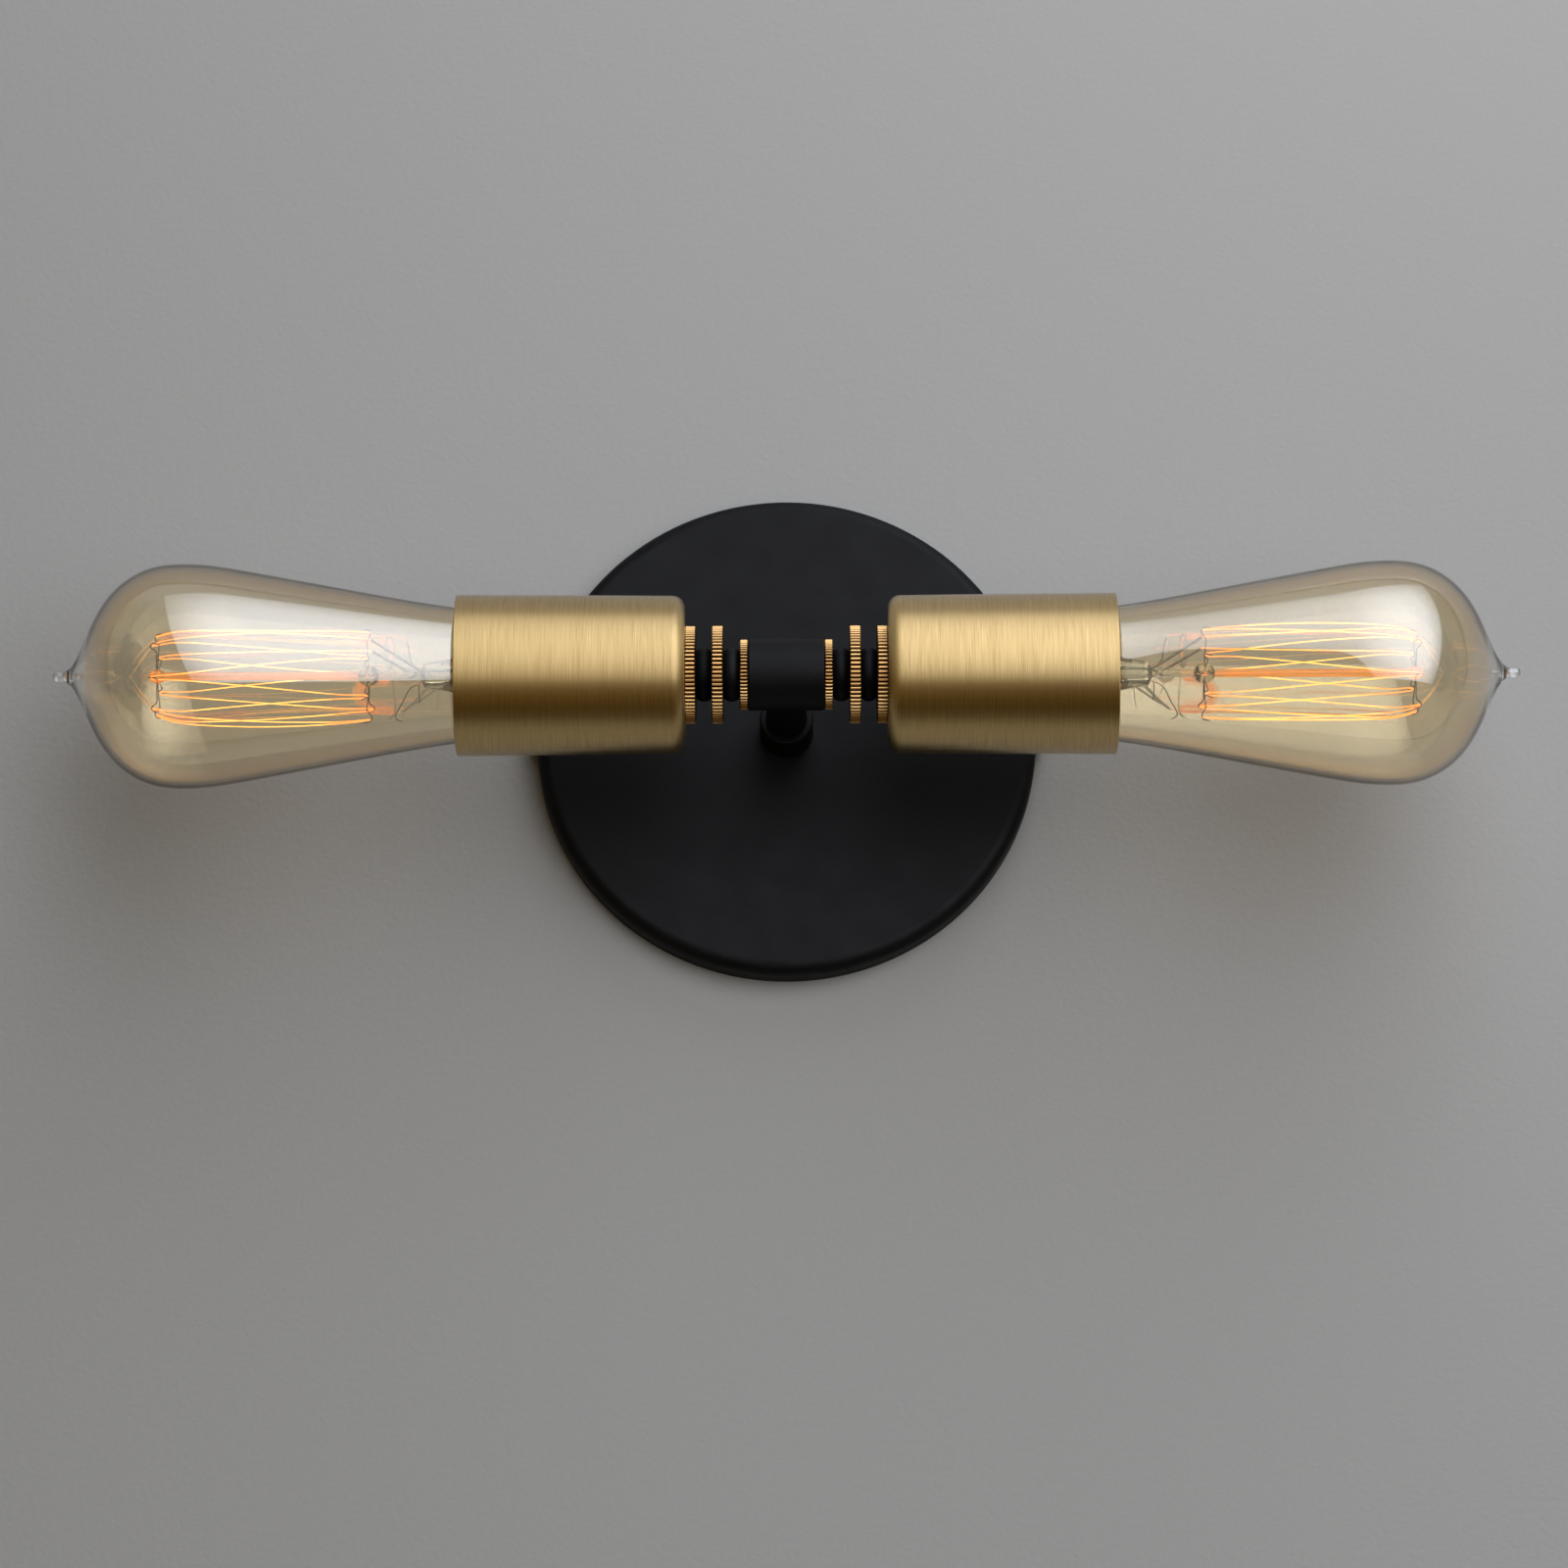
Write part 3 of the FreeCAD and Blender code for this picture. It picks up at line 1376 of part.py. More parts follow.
def write_nodes(nodes):
    os.makedirs("parts", exist_ok=True)
    for node in nodes:
        shape = node.Shape
        if shape.isNull() or not shape.isValid() or not shape.Solids:
            raise RuntimeError(node.Label + " is not a sound solid")
    for node in nodes:
        node.Shape.exportStep(os.path.join("parts", node.Label + ".step"))
        print(f"{node.Label}: {len(node.Shape.Solids)} solids, {node.Shape.Volume:.1f} mm3")


def main():
    single = build_canopy() + build_crossbar() + build_side_screws() + build_ground()
    single += build_stem() + build_tee() + build_nuts()
    single += build_bracket_screws() + build_terminals()
    paired = build_arm() + build_cup() + build_bracket() + build_holder() + build_contact_strip()
    wires, wire_ends = build_wires()
    paired += wires + build_lamp()
    single += wire_ends
    for side_name, side in (("right", 1), ("left", -1)):
        single += build_shell(side_name, side)
        single.append(build_cap(side_name, side))
    doc.recompute()
    copies = [mirrored(node, node.Label.replace("right", "left")) for node in paired]
    doc.recompute()
    check_document()
    write_nodes(single + paired + copies)


main()
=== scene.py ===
import math
import random

import bmesh
import bpy
from bpy.props import FloatProperty, FloatVectorProperty, PointerProperty
from mathutils import Matrix, Vector


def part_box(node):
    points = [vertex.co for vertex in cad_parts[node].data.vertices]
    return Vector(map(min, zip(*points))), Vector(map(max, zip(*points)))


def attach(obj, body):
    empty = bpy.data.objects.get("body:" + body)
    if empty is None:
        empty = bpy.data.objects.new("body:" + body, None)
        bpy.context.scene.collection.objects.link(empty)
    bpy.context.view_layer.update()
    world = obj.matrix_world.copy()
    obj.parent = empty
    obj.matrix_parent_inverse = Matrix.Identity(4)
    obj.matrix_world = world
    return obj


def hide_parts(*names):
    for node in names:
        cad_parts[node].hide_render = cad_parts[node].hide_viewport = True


bl_info = {
    "name": "Two Lamp Vanity Light",
    "version": (1, 0, 0),
    "blender": (4, 5, 0),
    "location": "3D View > Sidebar > Vanity Light",
    "description": "Finishes the plate, rings, cups and filament lamps of a two lamp wall light",
    "category": "Object",
}

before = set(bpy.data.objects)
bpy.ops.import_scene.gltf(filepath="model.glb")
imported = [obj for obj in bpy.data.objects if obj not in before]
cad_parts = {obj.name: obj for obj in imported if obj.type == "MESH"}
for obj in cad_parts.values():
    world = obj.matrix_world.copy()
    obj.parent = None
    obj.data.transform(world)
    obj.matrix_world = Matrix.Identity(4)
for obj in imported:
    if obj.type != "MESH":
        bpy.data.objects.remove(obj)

SIDES = ((-1, "left"), (1, "right"))
ARM_Y = (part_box("tee")[0].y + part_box("tee")[1].y) / 2
MM = 0.001


# Colours

def srgb(code):
    """Turns a hex colour such as B5924F into the linear colour of a shader."""
    linear = []
    for start in (0, 2, 4):
        part = int(code[start:start + 2], 16) / 255
        linear.append(part / 12.92 if part <= 0.04045 else ((part + 0.055) / 1.055) ** 2.4)
    return (*linear, 1.0)


def tone(name, code, about):
    """A colour that the user may change."""
    return FloatVectorProperty(
        name=name, description=about, subtype="COLOR", size=4, min=0.0, max=1.0, default=srgb(code)
    )


def length(name, millimetres, about):
    """A length that the user may change, in metres."""
    return FloatProperty(
        name=name, description=about, subtype="DISTANCE", unit="LENGTH", default=millimetres * MM
    )


# Sizes and colours that a user would change

class VanityFinishes(bpy.types.PropertyGroup):
    coat: tone("Powder coat", "070708", "Black of the plate, stem, tee and spacers")
    coat_grain: tone("Powder coat grain", "0F0F10", "High spots of the black coat")
    brass: tone("Brushed brass", "DABC7A", "Bright brush lines of the cups")
    brass_aged: tone("Aged brass", "AE8B4C", "Darker brush lines of the cups")
    ring_top: tone("Ring brass", "E6B878", "Tooth tops of the knurled rings")
    # Painted shade: a dark brown colour in the grooves between the teeth.
    ring_groove_shade: tone("Ring grooves", "2C1B0B", "Between the teeth")
    glass_tint: tone("Amber glass", "FAF1DA", "Tint of the bulbs, looked straight through")
    glass_edge: tone("Amber glass edge", "EBCB9C", "Tint of the bulbs towards their outline")
    glass_rim: tone("Amber glass rim", "443618", "Tint of the bulbs at their very outline")
    glass_mirror: tone("Amber glass mirror", "CDDAF0", "Tint of what the bulbs mirror")
    glow: tone("Filament glow", "FFBA5A", "Brightest light of the filament")
    glow_end: tone("Filament glow by the hooks", "FF8A3A", "Light where the hooks cool the wire")
    glow_strength: FloatProperty(
        name="Glow strength", description="How bright the filament burns", default=2.9, min=0.0
    )


class VanitySizes(bpy.types.PropertyGroup):
    filament_wire: length("Filament", 0.27, "Thickness of the coiled filament")
    near_corner: length("Near corners", 11.3, "Filament corners by the near bead, from the middle")
    far_corner: length("Far corners", 11.6, "Filament corners by the end bead, from the middle")
    filament_sag: length("Filament sag", 0.7, "How far a strand hangs at its middle")
    support_wire: length("Supports", 0.26, "Thickness of the support wires")
    hook_tail: length("Hook tail", 2.2, "Free end of a support wire past its kink")
    brush_line: length("Brush line", 0.14, "Width of a brush line on the cups")
    bulb_wall: length("Bulb wall", 0.7, "Thickness of the bulb glass")


# Nodes and materials

def add_node(tree, kind, links=None, values=None, ramp=None, **settings):
    """Adds a node with its settings, its values and what is linked into it."""
    node = tree.nodes.new(kind)
    for name, value in settings.items():
        setattr(node, name, value)
    for name, value in (values or {}).items():
        node.inputs[name].default_value = value
    for name, socket in (links or {}).items():
        tree.links.new(socket, node.inputs[name])
    if ramp:
        stops = node.color_ramp.elements
        while len(stops) < len(ramp):
            stops.new(0.5)
        for stop, (place, colour) in zip(stops, ramp):
            stop.position = place
            stop.color = colour
    return node


def new_material(name):
    """A material with its node tree and its shader."""
    material = bpy.data.materials.new(name)
    material.use_nodes = True
    return material, material.node_tree, material.node_tree.nodes["Principled BSDF"]


def object_place(tree, scale=(1.0, 1.0, 1.0), centre=(0.0, 0.0, 0.0)):
    """Object coordinates, moved to a centre and stretched."""
    place = add_node(tree, "ShaderNodeTexCoord")
    moved = add_node(
        tree, "ShaderNodeVectorMath", links={0: place.outputs["Object"]}, values={1: centre},
        operation="SUBTRACT",
    )
    stretched = add_node(
        tree, "ShaderNodeVectorMath", links={0: moved.outputs[0]}, values={1: scale}, operation="MULTIPLY"
    )
    return stretched.outputs[0]


def along_arm(tree, centre=(0.0, 0.0, 0.0)):
    """Object coordinates in parts, and the distance along the arm from the middle of the light."""
    parts = add_node(tree, "ShaderNodeSeparateXYZ", links={0: object_place(tree, centre=centre)})
    height = add_node(tree, "ShaderNodeMath", links={0: parts.outputs["X"]}, operation="ABSOLUTE")
    return parts, height


def link_surface(tree, shader, colour, gloss, bump):
    """Colour, roughness and bump of a shader."""
    tree.links.new(colour.outputs["Color"], shader.inputs["Base Color"])
    tree.links.new(gloss.outputs["Result"], shader.inputs["Roughness"])
    tree.links.new(bump.outputs["Normal"], shader.inputs["Normal"])


def powder_coat(finishes):
    """Matt black polyester powder coat: a faint orange peel with fine grain, no clear reflection."""
    material, tree, shader = new_material("black_powder_coat")
    grain = add_node(
        tree, "ShaderNodeTexNoise", links={"Vector": object_place(tree)},
        values={"Scale": 1 / (0.45 * MM), "Detail": 4.0, "Roughness": 0.6},
    )
    broad = add_node(
        tree, "ShaderNodeTexNoise", links={"Vector": object_place(tree)},
        values={"Scale": 1 / (9 * MM), "Detail": 2.0},
    )
    colour = add_node(
        tree, "ShaderNodeValToRGB", links={"Fac": grain.outputs["Fac"]},
        ramp=[(0.42, tuple(finishes.coat)), (0.75, tuple(finishes.coat_grain))],
    )
    gloss = add_node(
        tree, "ShaderNodeMapRange", links={"Value": broad.outputs["Fac"]},
        values={"From Min": 0.3, "From Max": 0.7, "To Min": 0.5, "To Max": 0.58},
    )
    bump = add_node(
        tree, "ShaderNodeBump", links={"Height": grain.outputs["Fac"]},
        values={"Strength": 0.35, "Distance": 0.03 * MM},
    )
    shader.inputs["Specular IOR Level"].default_value = 0.16
    link_surface(tree, shader, colour, gloss, bump)
    return material


BRUSH_STROKE = 9 * MM
BRUSH_BAND = 30 * MM
LINES_IN_BAND = 6


def brushed_brass(finishes, sizes):
    """Brass brushed on a lathe and lacquered: the brush lines run round the cup.

    The lines go on over the rounded end. Wider and fainter bands lie among them.
    """
    material, tree, shader = new_material("brushed_brass")
    parts, height = along_arm(tree, centre=(0.0, ARM_Y, 0.0))
    flat = add_node(
        tree, "ShaderNodeCombineXYZ", links={"Y": parts.outputs["Y"], "Z": parts.outputs["Z"]}
    )
    reach = add_node(tree, "ShaderNodeVectorMath", links={0: flat.outputs[0]}, operation="LENGTH")
    along = add_node(
        tree, "ShaderNodeMath", links={0: height.outputs[0], 1: reach.outputs["Value"]}, operation="ADD"
    )
    lines = []
    band = sizes.brush_line * LINES_IN_BAND
    for width, stretch in ((sizes.brush_line, BRUSH_STROKE), (band, BRUSH_BAND)):
        line = add_node(
            tree, "ShaderNodeMath", links={0: along.outputs[0]}, values={1: 1 / width},
            operation="MULTIPLY",
        )
        across = add_node(
            tree, "ShaderNodeVectorMath", links={0: flat.outputs[0]},
            values={1: (0, 1 / stretch, 1 / stretch)}, operation="MULTIPLY",
        )
        turned = add_node(tree, "ShaderNodeSeparateXYZ", links={0: across.outputs[0]})
        place = add_node(
            tree, "ShaderNodeCombineXYZ",
            links={"X": line.outputs[0], "Y": turned.outputs["Y"], "Z": turned.outputs["Z"]},
        )
        lines.append(add_node(
            tree, "ShaderNodeTexNoise", links={"Vector": place.outputs[0]},
            values={"Scale": 1.0, "Detail": 1.0, "Roughness": 0.5},
        ))
    fine, wide = lines
    both = add_node(
        tree, "ShaderNodeMix", links={"A": fine.outputs["Fac"], "B": wide.outputs["Fac"]},
        values={"Factor": 0.18}, data_type="FLOAT",
    )
    colour = add_node(
        tree, "ShaderNodeValToRGB", links={"Fac": both.outputs["Result"]},
        ramp=[(0.1, tuple(finishes.brass_aged)), (0.78, tuple(finishes.brass))],
    )
    gloss = add_node(
        tree, "ShaderNodeMapRange", links={"Value": both.outputs["Result"]},
        values={"From Min": 0.3, "From Max": 0.7, "To Min": 0.5, "To Max": 0.4},
    )
    bump = add_node(
        tree, "ShaderNodeBump", links={"Height": fine.outputs["Fac"]},
        values={"Strength": 0.09, "Distance": 0.02 * MM},
    )
    round_cup = add_node(tree, "ShaderNodeTangent", direction_type="RADIAL", axis="X")
    shader.inputs["Metallic"].default_value = 1.0
    shader.inputs["Anisotropic"].default_value = 0.8
    shader.inputs["Anisotropic Rotation"].default_value = 0.25
    shader.inputs["Coat Weight"].default_value = 0.8
    shader.inputs["Coat IOR"].default_value = 1.6
    shader.inputs["Coat Roughness"].default_value = 0.35
    link_surface(tree, shader, colour, gloss, bump)
    tree.links.new(round_cup.outputs["Tangent"], shader.inputs["Tangent"])
    return material


def ring_brass(finishes, name, outer, depth):
    """Raw turned brass with a straight knurl: bright tooth tops, brown grooves darkened with painted
    shade.
    """
    material, tree, shader = new_material(name)
    place = object_place(tree, (0.0, 1.0, 1.0), (0.0, ARM_Y, 0.0))
    reach = add_node(tree, "ShaderNodeVectorMath", links={0: place}, operation="LENGTH")
    height = add_node(
        tree, "ShaderNodeMapRange", links={"Value": reach.outputs["Value"]},
        values={"From Min": outer - depth, "From Max": outer, "To Min": 0.0, "To Max": 1.0},
    )
    grain = add_node(
        tree, "ShaderNodeTexNoise", links={"Vector": object_place(tree)},
        values={"Scale": 1 / (0.6 * MM), "Detail": 3.0},
    )
    # Painted shade: the colour darkens from the tooth tops down into the grooves.
    colour = add_node(
        tree, "ShaderNodeValToRGB", links={"Fac": height.outputs["Result"]},
        ramp=[(0.4, tuple(finishes.ring_groove_shade)), (0.8, tuple(finishes.ring_top))],
    )
    gloss = add_node(
        tree, "ShaderNodeMapRange", links={"Value": grain.outputs["Fac"]},
        values={"From Min": 0.3, "From Max": 0.7, "To Min": 0.28, "To Max": 0.4},
    )
    bump = add_node(
        tree, "ShaderNodeBump", links={"Height": grain.outputs["Fac"]},
        values={"Strength": 0.2, "Distance": 0.02 * MM},
    )
    shader.inputs["Metallic"].default_value = 1.0
    link_surface(tree, shader, colour, gloss, bump)
    return material


def grained(name, dark, light, size, metallic=0.0, rough=(0.3, 0.4), bumpy=0.2):
    """A plain material with a fine grain of two tones, such as plated steel or glazed ceramic."""
    material, tree, shader = new_material(name)
    grain = add_node(
        tree, "ShaderNodeTexNoise", links={"Vector": object_place(tree)},
        values={"Scale": 1 / size, "Detail": 4.0, "Roughness": 0.6},
    )
    colour = add_node(
        tree, "ShaderNodeValToRGB", links={"Fac": grain.outputs["Fac"]},
        ramp=[(0.35, srgb(dark)), (0.65, srgb(light))],
    )
    gloss = add_node(
        tree, "ShaderNodeMapRange", links={"Value": grain.outputs["Fac"]},
        values={"From Min": 0.3, "From Max": 0.7, "To Min": rough[0], "To Max": rough[1]},
    )
    bump = add_node(
        tree, "ShaderNodeBump", links={"Height": grain.outputs["Fac"]},
        values={"Strength": bumpy, "Distance": 0.02 * MM},
    )
    shader.inputs["Metallic"].default_value = metallic
    link_surface(tree, shader, colour, gloss, bump)
    return material


TIP_FOOT = 170.6 * MM
CLEAR_TIP = 171.6 * MM
CLEAR_GLASS = "F1F1EE"


def amber_glass(finishes):
    """Blown glass with an amber lustre: it mirrors more than clear glass and is deeper at its outline.

    The lustre ends at the outline, which stays dark. The tip is drawn from a clear tube.
    """
    material, tree, shader = new_material("amber_glass")
    facing = add_node(tree, "ShaderNodeLayerWeight", values={"Blend": 0.5})
    colour = add_node(
        tree, "ShaderNodeValToRGB", links={"Fac": facing.outputs["Facing"]},
        ramp=[
            (0.35, tuple(finishes.glass_tint)), (0.72, tuple(finishes.glass_edge)),
            (0.79, tuple(finishes.glass_rim)),
        ],
    )
    lustre = add_node(
        tree, "ShaderNodeMapRange", links={"Value": facing.outputs["Facing"]},
        values={"From Min": 0.7, "From Max": 0.79, "To Min": 1.0, "To Max": 0.0},
    )
    _, height = along_arm(tree)
    drawn = add_node(
        tree, "ShaderNodeMapRange", links={"Value": height.outputs[0]},
        values={"From Min": TIP_FOOT, "From Max": CLEAR_TIP},
    )
    tinted = add_node(
        tree, "ShaderNodeMix", data_type="RGBA",
        links={0: drawn.outputs["Result"], 6: colour.outputs["Color"]},
        values={7: srgb(CLEAR_GLASS)},
    )
    waves = add_node(
        tree, "ShaderNodeTexNoise", links={"Vector": object_place(tree)},
        values={"Scale": 1 / (18 * MM), "Detail": 1.0},
    )
    bump = add_node(
        tree, "ShaderNodeBump", links={"Height": waves.outputs["Fac"]},
        values={"Strength": 0.15, "Distance": 0.15 * MM},
    )
    shader.inputs["Roughness"].default_value = 0.0
    shader.inputs["IOR"].default_value = 1.5
    shader.inputs["Transmission Weight"].default_value = 1.0
    shader.inputs["Specular Tint"].default_value = finishes.glass_mirror
    shader.inputs["Coat IOR"].default_value = 1.85
    shader.inputs["Coat Roughness"].default_value = 0.02
    tree.links.new(lustre.outputs["Result"], shader.inputs["Coat Weight"])
    tree.links.new(tinted.outputs[2], shader.inputs["Base Color"])
    tree.links.new(bump.outputs["Normal"], shader.inputs["Normal"])
    return material


ROD_RADIUS = 1.3 * MM


def inner_glass(near_bead):
    """Drawn clear glass of the pinch and rod: past the near bead it has a painted glow, with streaks of
    painted reflection of the filament.
    """
    material, tree, shader = new_material("clear_glass")
    parts, height = along_arm(tree)
    lit = add_node(
        tree, "ShaderNodeMapRange", links={"Value": height.outputs[0]},
        values={"From Min": near_bead - 3 * MM, "From Max": near_bead + 6 * MM},
    )
    # Painted glow: the tint turns warm orange past the near bead, where the filament's light falls.
    colour = add_node(
        tree, "ShaderNodeValToRGB", links={"Fac": lit.outputs["Result"]},
        ramp=[(0.0, srgb("EDEFEA")), (0.5, srgb("EBD9B6")), (1.0, srgb("EDB668"))],
    )
    # Painted reflections: orange streaks across the rod stand for the filament mirrored in it, and they
    # glow as emission past the near bead.
    round_rod = add_node(
        tree, "ShaderNodeMapRange", links={"Value": parts.outputs["Z"]},
        values={"From Min": -ROD_RADIUS, "From Max": ROD_RADIUS},
    )
    painted_reflection_streaks = add_node(
        tree, "ShaderNodeValToRGB", links={"Fac": round_rod.outputs["Result"]},
        ramp=[
            (0.0, srgb("E89030")), (0.25, srgb("D27618")), (0.5, srgb("A8763A")),
            (0.62, srgb("D8A468")), (0.75, srgb("B0641A")), (1.0, srgb("7A4414")),
        ],
    )
    ends = add_node(
        tree, "ShaderNodeMapRange", links={"Value": lit.outputs["Result"]},
        values={"From Min": 0.45, "From Max": 1.0},
    )
    glow = add_node(
        tree, "ShaderNodeVectorMath", links={0: painted_reflection_streaks.outputs["Color"], "Scale": ends.outputs["Result"]},
        operation="SCALE",
    )
    waves = add_node(
        tree, "ShaderNodeTexNoise", links={"Vector": object_place(tree)},
        values={"Scale": 1 / (2.5 * MM), "Detail": 1.0},
    )
    bump = add_node(
        tree, "ShaderNodeBump", links={"Height": waves.outputs["Fac"]},
        values={"Strength": 0.5, "Distance": 0.4 * MM},
    )
    shader.inputs["Roughness"].default_value = 0.02
    shader.inputs["IOR"].default_value = 1.5
    shader.inputs["Transmission Weight"].default_value = 1.0
    shader.inputs["Emission Strength"].default_value = 0.28
    tree.links.new(colour.outputs["Color"], shader.inputs["Base Color"])
    tree.links.new(glow.outputs["Vector"], shader.inputs["Emission Color"])
    tree.links.new(bump.outputs["Normal"], shader.inputs["Normal"])
    return material


def lit_tungsten(finishes, middle, half_length):
    """Coiled tungsten that burns warm white along each strand and orange by the cooler hooks."""
    material, tree, shader = new_material("glowing_tungsten")
    _, height = along_arm(tree)
    off = add_node(
        tree, "ShaderNodeMath", links={0: height.outputs[0]}, values={1: middle}, operation="SUBTRACT"
    )
    away = add_node(tree, "ShaderNodeMath", links={0: off.outputs[0]}, operation="ABSOLUTE")
    cooler = add_node(
        tree, "ShaderNodeMapRange", links={"Value": away.outputs[0]},
        values={"From Min": half_length * 0.55, "From Max": half_length},
    )
    patches = object_place(tree, (1 / (5 * MM), 1 / (3 * MM), 1 / (3 * MM)))
    coil = add_node(
        tree, "ShaderNodeTexNoise", links={"Vector": patches}, values={"Scale": 1.0, "Detail": 2.0}
    )
    uneven = add_node(
        tree, "ShaderNodeMath", links={0: coil.outputs["Fac"], 1: cooler.outputs["Result"]},
        operation="ADD",
    )
    colour = add_node(
        tree, "ShaderNodeValToRGB", links={"Fac": uneven.outputs[0]},
        ramp=[(0.45, tuple(finishes.glow)), (0.95, tuple(finishes.glow_end))],
    )
    shader.inputs["Base Color"].default_value = srgb("4A3A30")
    shader.inputs["Roughness"].default_value = 0.6
    tree.links.new(colour.outputs["Color"], shader.inputs["Emission Color"])
    shader.inputs["Emission Strength"].default_value = finishes.glow_strength
    return material


def dress(node, material):
    """Gives a node of the frame its material."""
    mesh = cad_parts[node].data
    if not mesh.materials:
        mesh.materials.append(material)
    for index in range(len(mesh.materials)):
        mesh.materials[index] = material


def both_sides(*names):
    """Nodes of these names on the left and on the right."""
    return [f"{side}_{name}" for _, side in SIDES for name in names]


# Glass of the lamps, in millimetres along the arm and from the middle of the lamp

BULB_OUTLINE = (
    (58.0, 11.2), (65.0, 11.4), (68.5, 13.2), (73.0, 15.3), (78.0, 16.4), (84.0, 17.2), (92.0, 18.45),
    (106.0, 21.05), (120.0, 23.7), (134.0, 26.3), (141.0, 27.5), (147.5, 27.9), (153.0, 27.7),
    (157.4, 26.6), (161.7, 24.4), (165.5, 21.2), (168.7, 17.0), (171.2, 12.0), (173.5, 6.6),
)
DRAWN_TIP = (
    (175.0, 3.7), (175.9, 2.45), (176.8, 1.6), (177.8, 1.05), (178.8, 1.2), (179.9, 1.2), (180.55, 0.7),
    (180.6, 0.0),
)
HOLLOW_END = ((174.4, 3.2), (175.2, 1.8), (175.6, 0.9), (175.7, 0.0))
BULB_STEPS = 36
SAME_POINT = 0.005 * MM


def bulb_outline(wall):
    """From the end of the hollow back to the cap, round the rim of the glass and out to the drawn tip."""
    inside = []
    for index, (along, reach) in enumerate(BULB_OUTLINE):
        before = Vector(BULB_OUTLINE[max(index - 1, 0)])
        after = Vector(BULB_OUTLINE[min(index + 1, len(BULB_OUTLINE) - 1)])
        slope = (after - before).normalized()
        inside.append((along + slope.y * wall, reach - slope.x * wall))
    return [*reversed(HOLLOW_END), *reversed(inside), *BULB_OUTLINE, *DRAWN_TIP]


def blown_bulb(side, side_name, sizes, material):
    """A bulb turned from its outline, hollow to the foot of the drawn tip."""
    shape = bmesh.new()
    line = [
        shape.verts.new((side * along * MM, ARM_Y, -reach * MM))
        for along, reach in bulb_outline(sizes.bulb_wall / MM)
    ]
    edges = [shape.edges.new(pair) for pair in zip(line, line[1:])]
    bmesh.ops.spin(
        shape, geom=line + edges, cent=(0.0, ARM_Y, 0.0), axis=(1.0, 0.0, 0.0), dvec=(0.0, 0.0, 0.0),
        angle=math.tau, steps=BULB_STEPS, use_merge=True, use_duplicate=False,
    )
    bmesh.ops.remove_doubles(shape, verts=shape.verts, dist=SAME_POINT)
    bmesh.ops.recalc_face_normals(shape, faces=shape.faces)
    for face in shape.faces:
        face.smooth = True
    mesh = bpy.data.meshes.new(side_name + "_blown_bulb")
    shape.to_mesh(mesh)
    shape.free()
    mesh.materials.append(material)
    piece = bpy.data.objects.new(side_name + "_blown_bulb", mesh)
    bpy.context.scene.collection.objects.link(piece)
    round_off = piece.modifiers.new("round off", "SUBSURF")
    round_off.levels = 2
    round_off.render_levels = 2
    return piece


# Wires in the lamps

HOOKS = 7
FIRST_HOOK_ANGLE = 188.0
LEAD_HALF_ANGLE = 14.0
HOOK_STEP = 360.0 / HOOKS
LEAD_REACH = 9.9 * MM
HOOK_TURN = 0.55 * MM
NEAR_HOOK_SHARE = 0.97
FAR_HOOK_SHARE = 0.86
STRAND_SHARES = (0.1, 0.3, 0.5, 0.7, 0.9)
STRAND_BOW = (-0.3, 0.9)
STRAND_SWAY = (-1.0, 1.0)
SUPPORT_KINK = (0.3, 0.5)
SUPPORT_LEAN = (-4, 4)
FAR_ANGLES = [FIRST_HOOK_ANGLE + HOOK_STEP * index for index in range(HOOKS)]
NEAR_ANGLES = [FIRST_HOOK_ANGLE + HOOK_STEP * (index + 0.5) for index in range(HOOKS - 1)]

# The beads stand half a wire inside the box of the straight supports
SOLID_WIRE_RADIUS = 0.2 * MM
NEAR_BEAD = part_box("right_bulb_supports")[0].x + SOLID_WIRE_RADIUS
FAR_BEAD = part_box("right_bulb_supports")[1].x - SOLID_WIRE_RADIUS


def lamp_point(side, reach, angle, along):
    """A point of a lamp from its distance to the middle, its angle and its place along the arm."""
    turn = math.radians(angle)
    return Vector((side * along, ARM_Y + reach * math.sin(turn), -reach * math.cos(turn)))


def bent_wires(name, routes, thickness, material):
    """Round wires, each smooth through the points of its route."""
    curve = bpy.data.curves.new(name, "CURVE")
    curve.dimensions = "3D"
    curve.bevel_depth = thickness / 2
    curve.bevel_resolution = 2
    curve.resolution_u = 5
    curve.use_fill_caps = True
    for route in routes:
        spline = curve.splines.new("NURBS")
        spline.points.add(len(route) - 1)
        for point, place in zip(spline.points, route):
            point.co = (*place, 1.0)
        spline.order_u = 3
        spline.use_endpoint_u = True
    curve.materials.append(material)
    piece = bpy.data.objects.new(name, curve)
    bpy.context.scene.collection.objects.link(piece)
    return piece


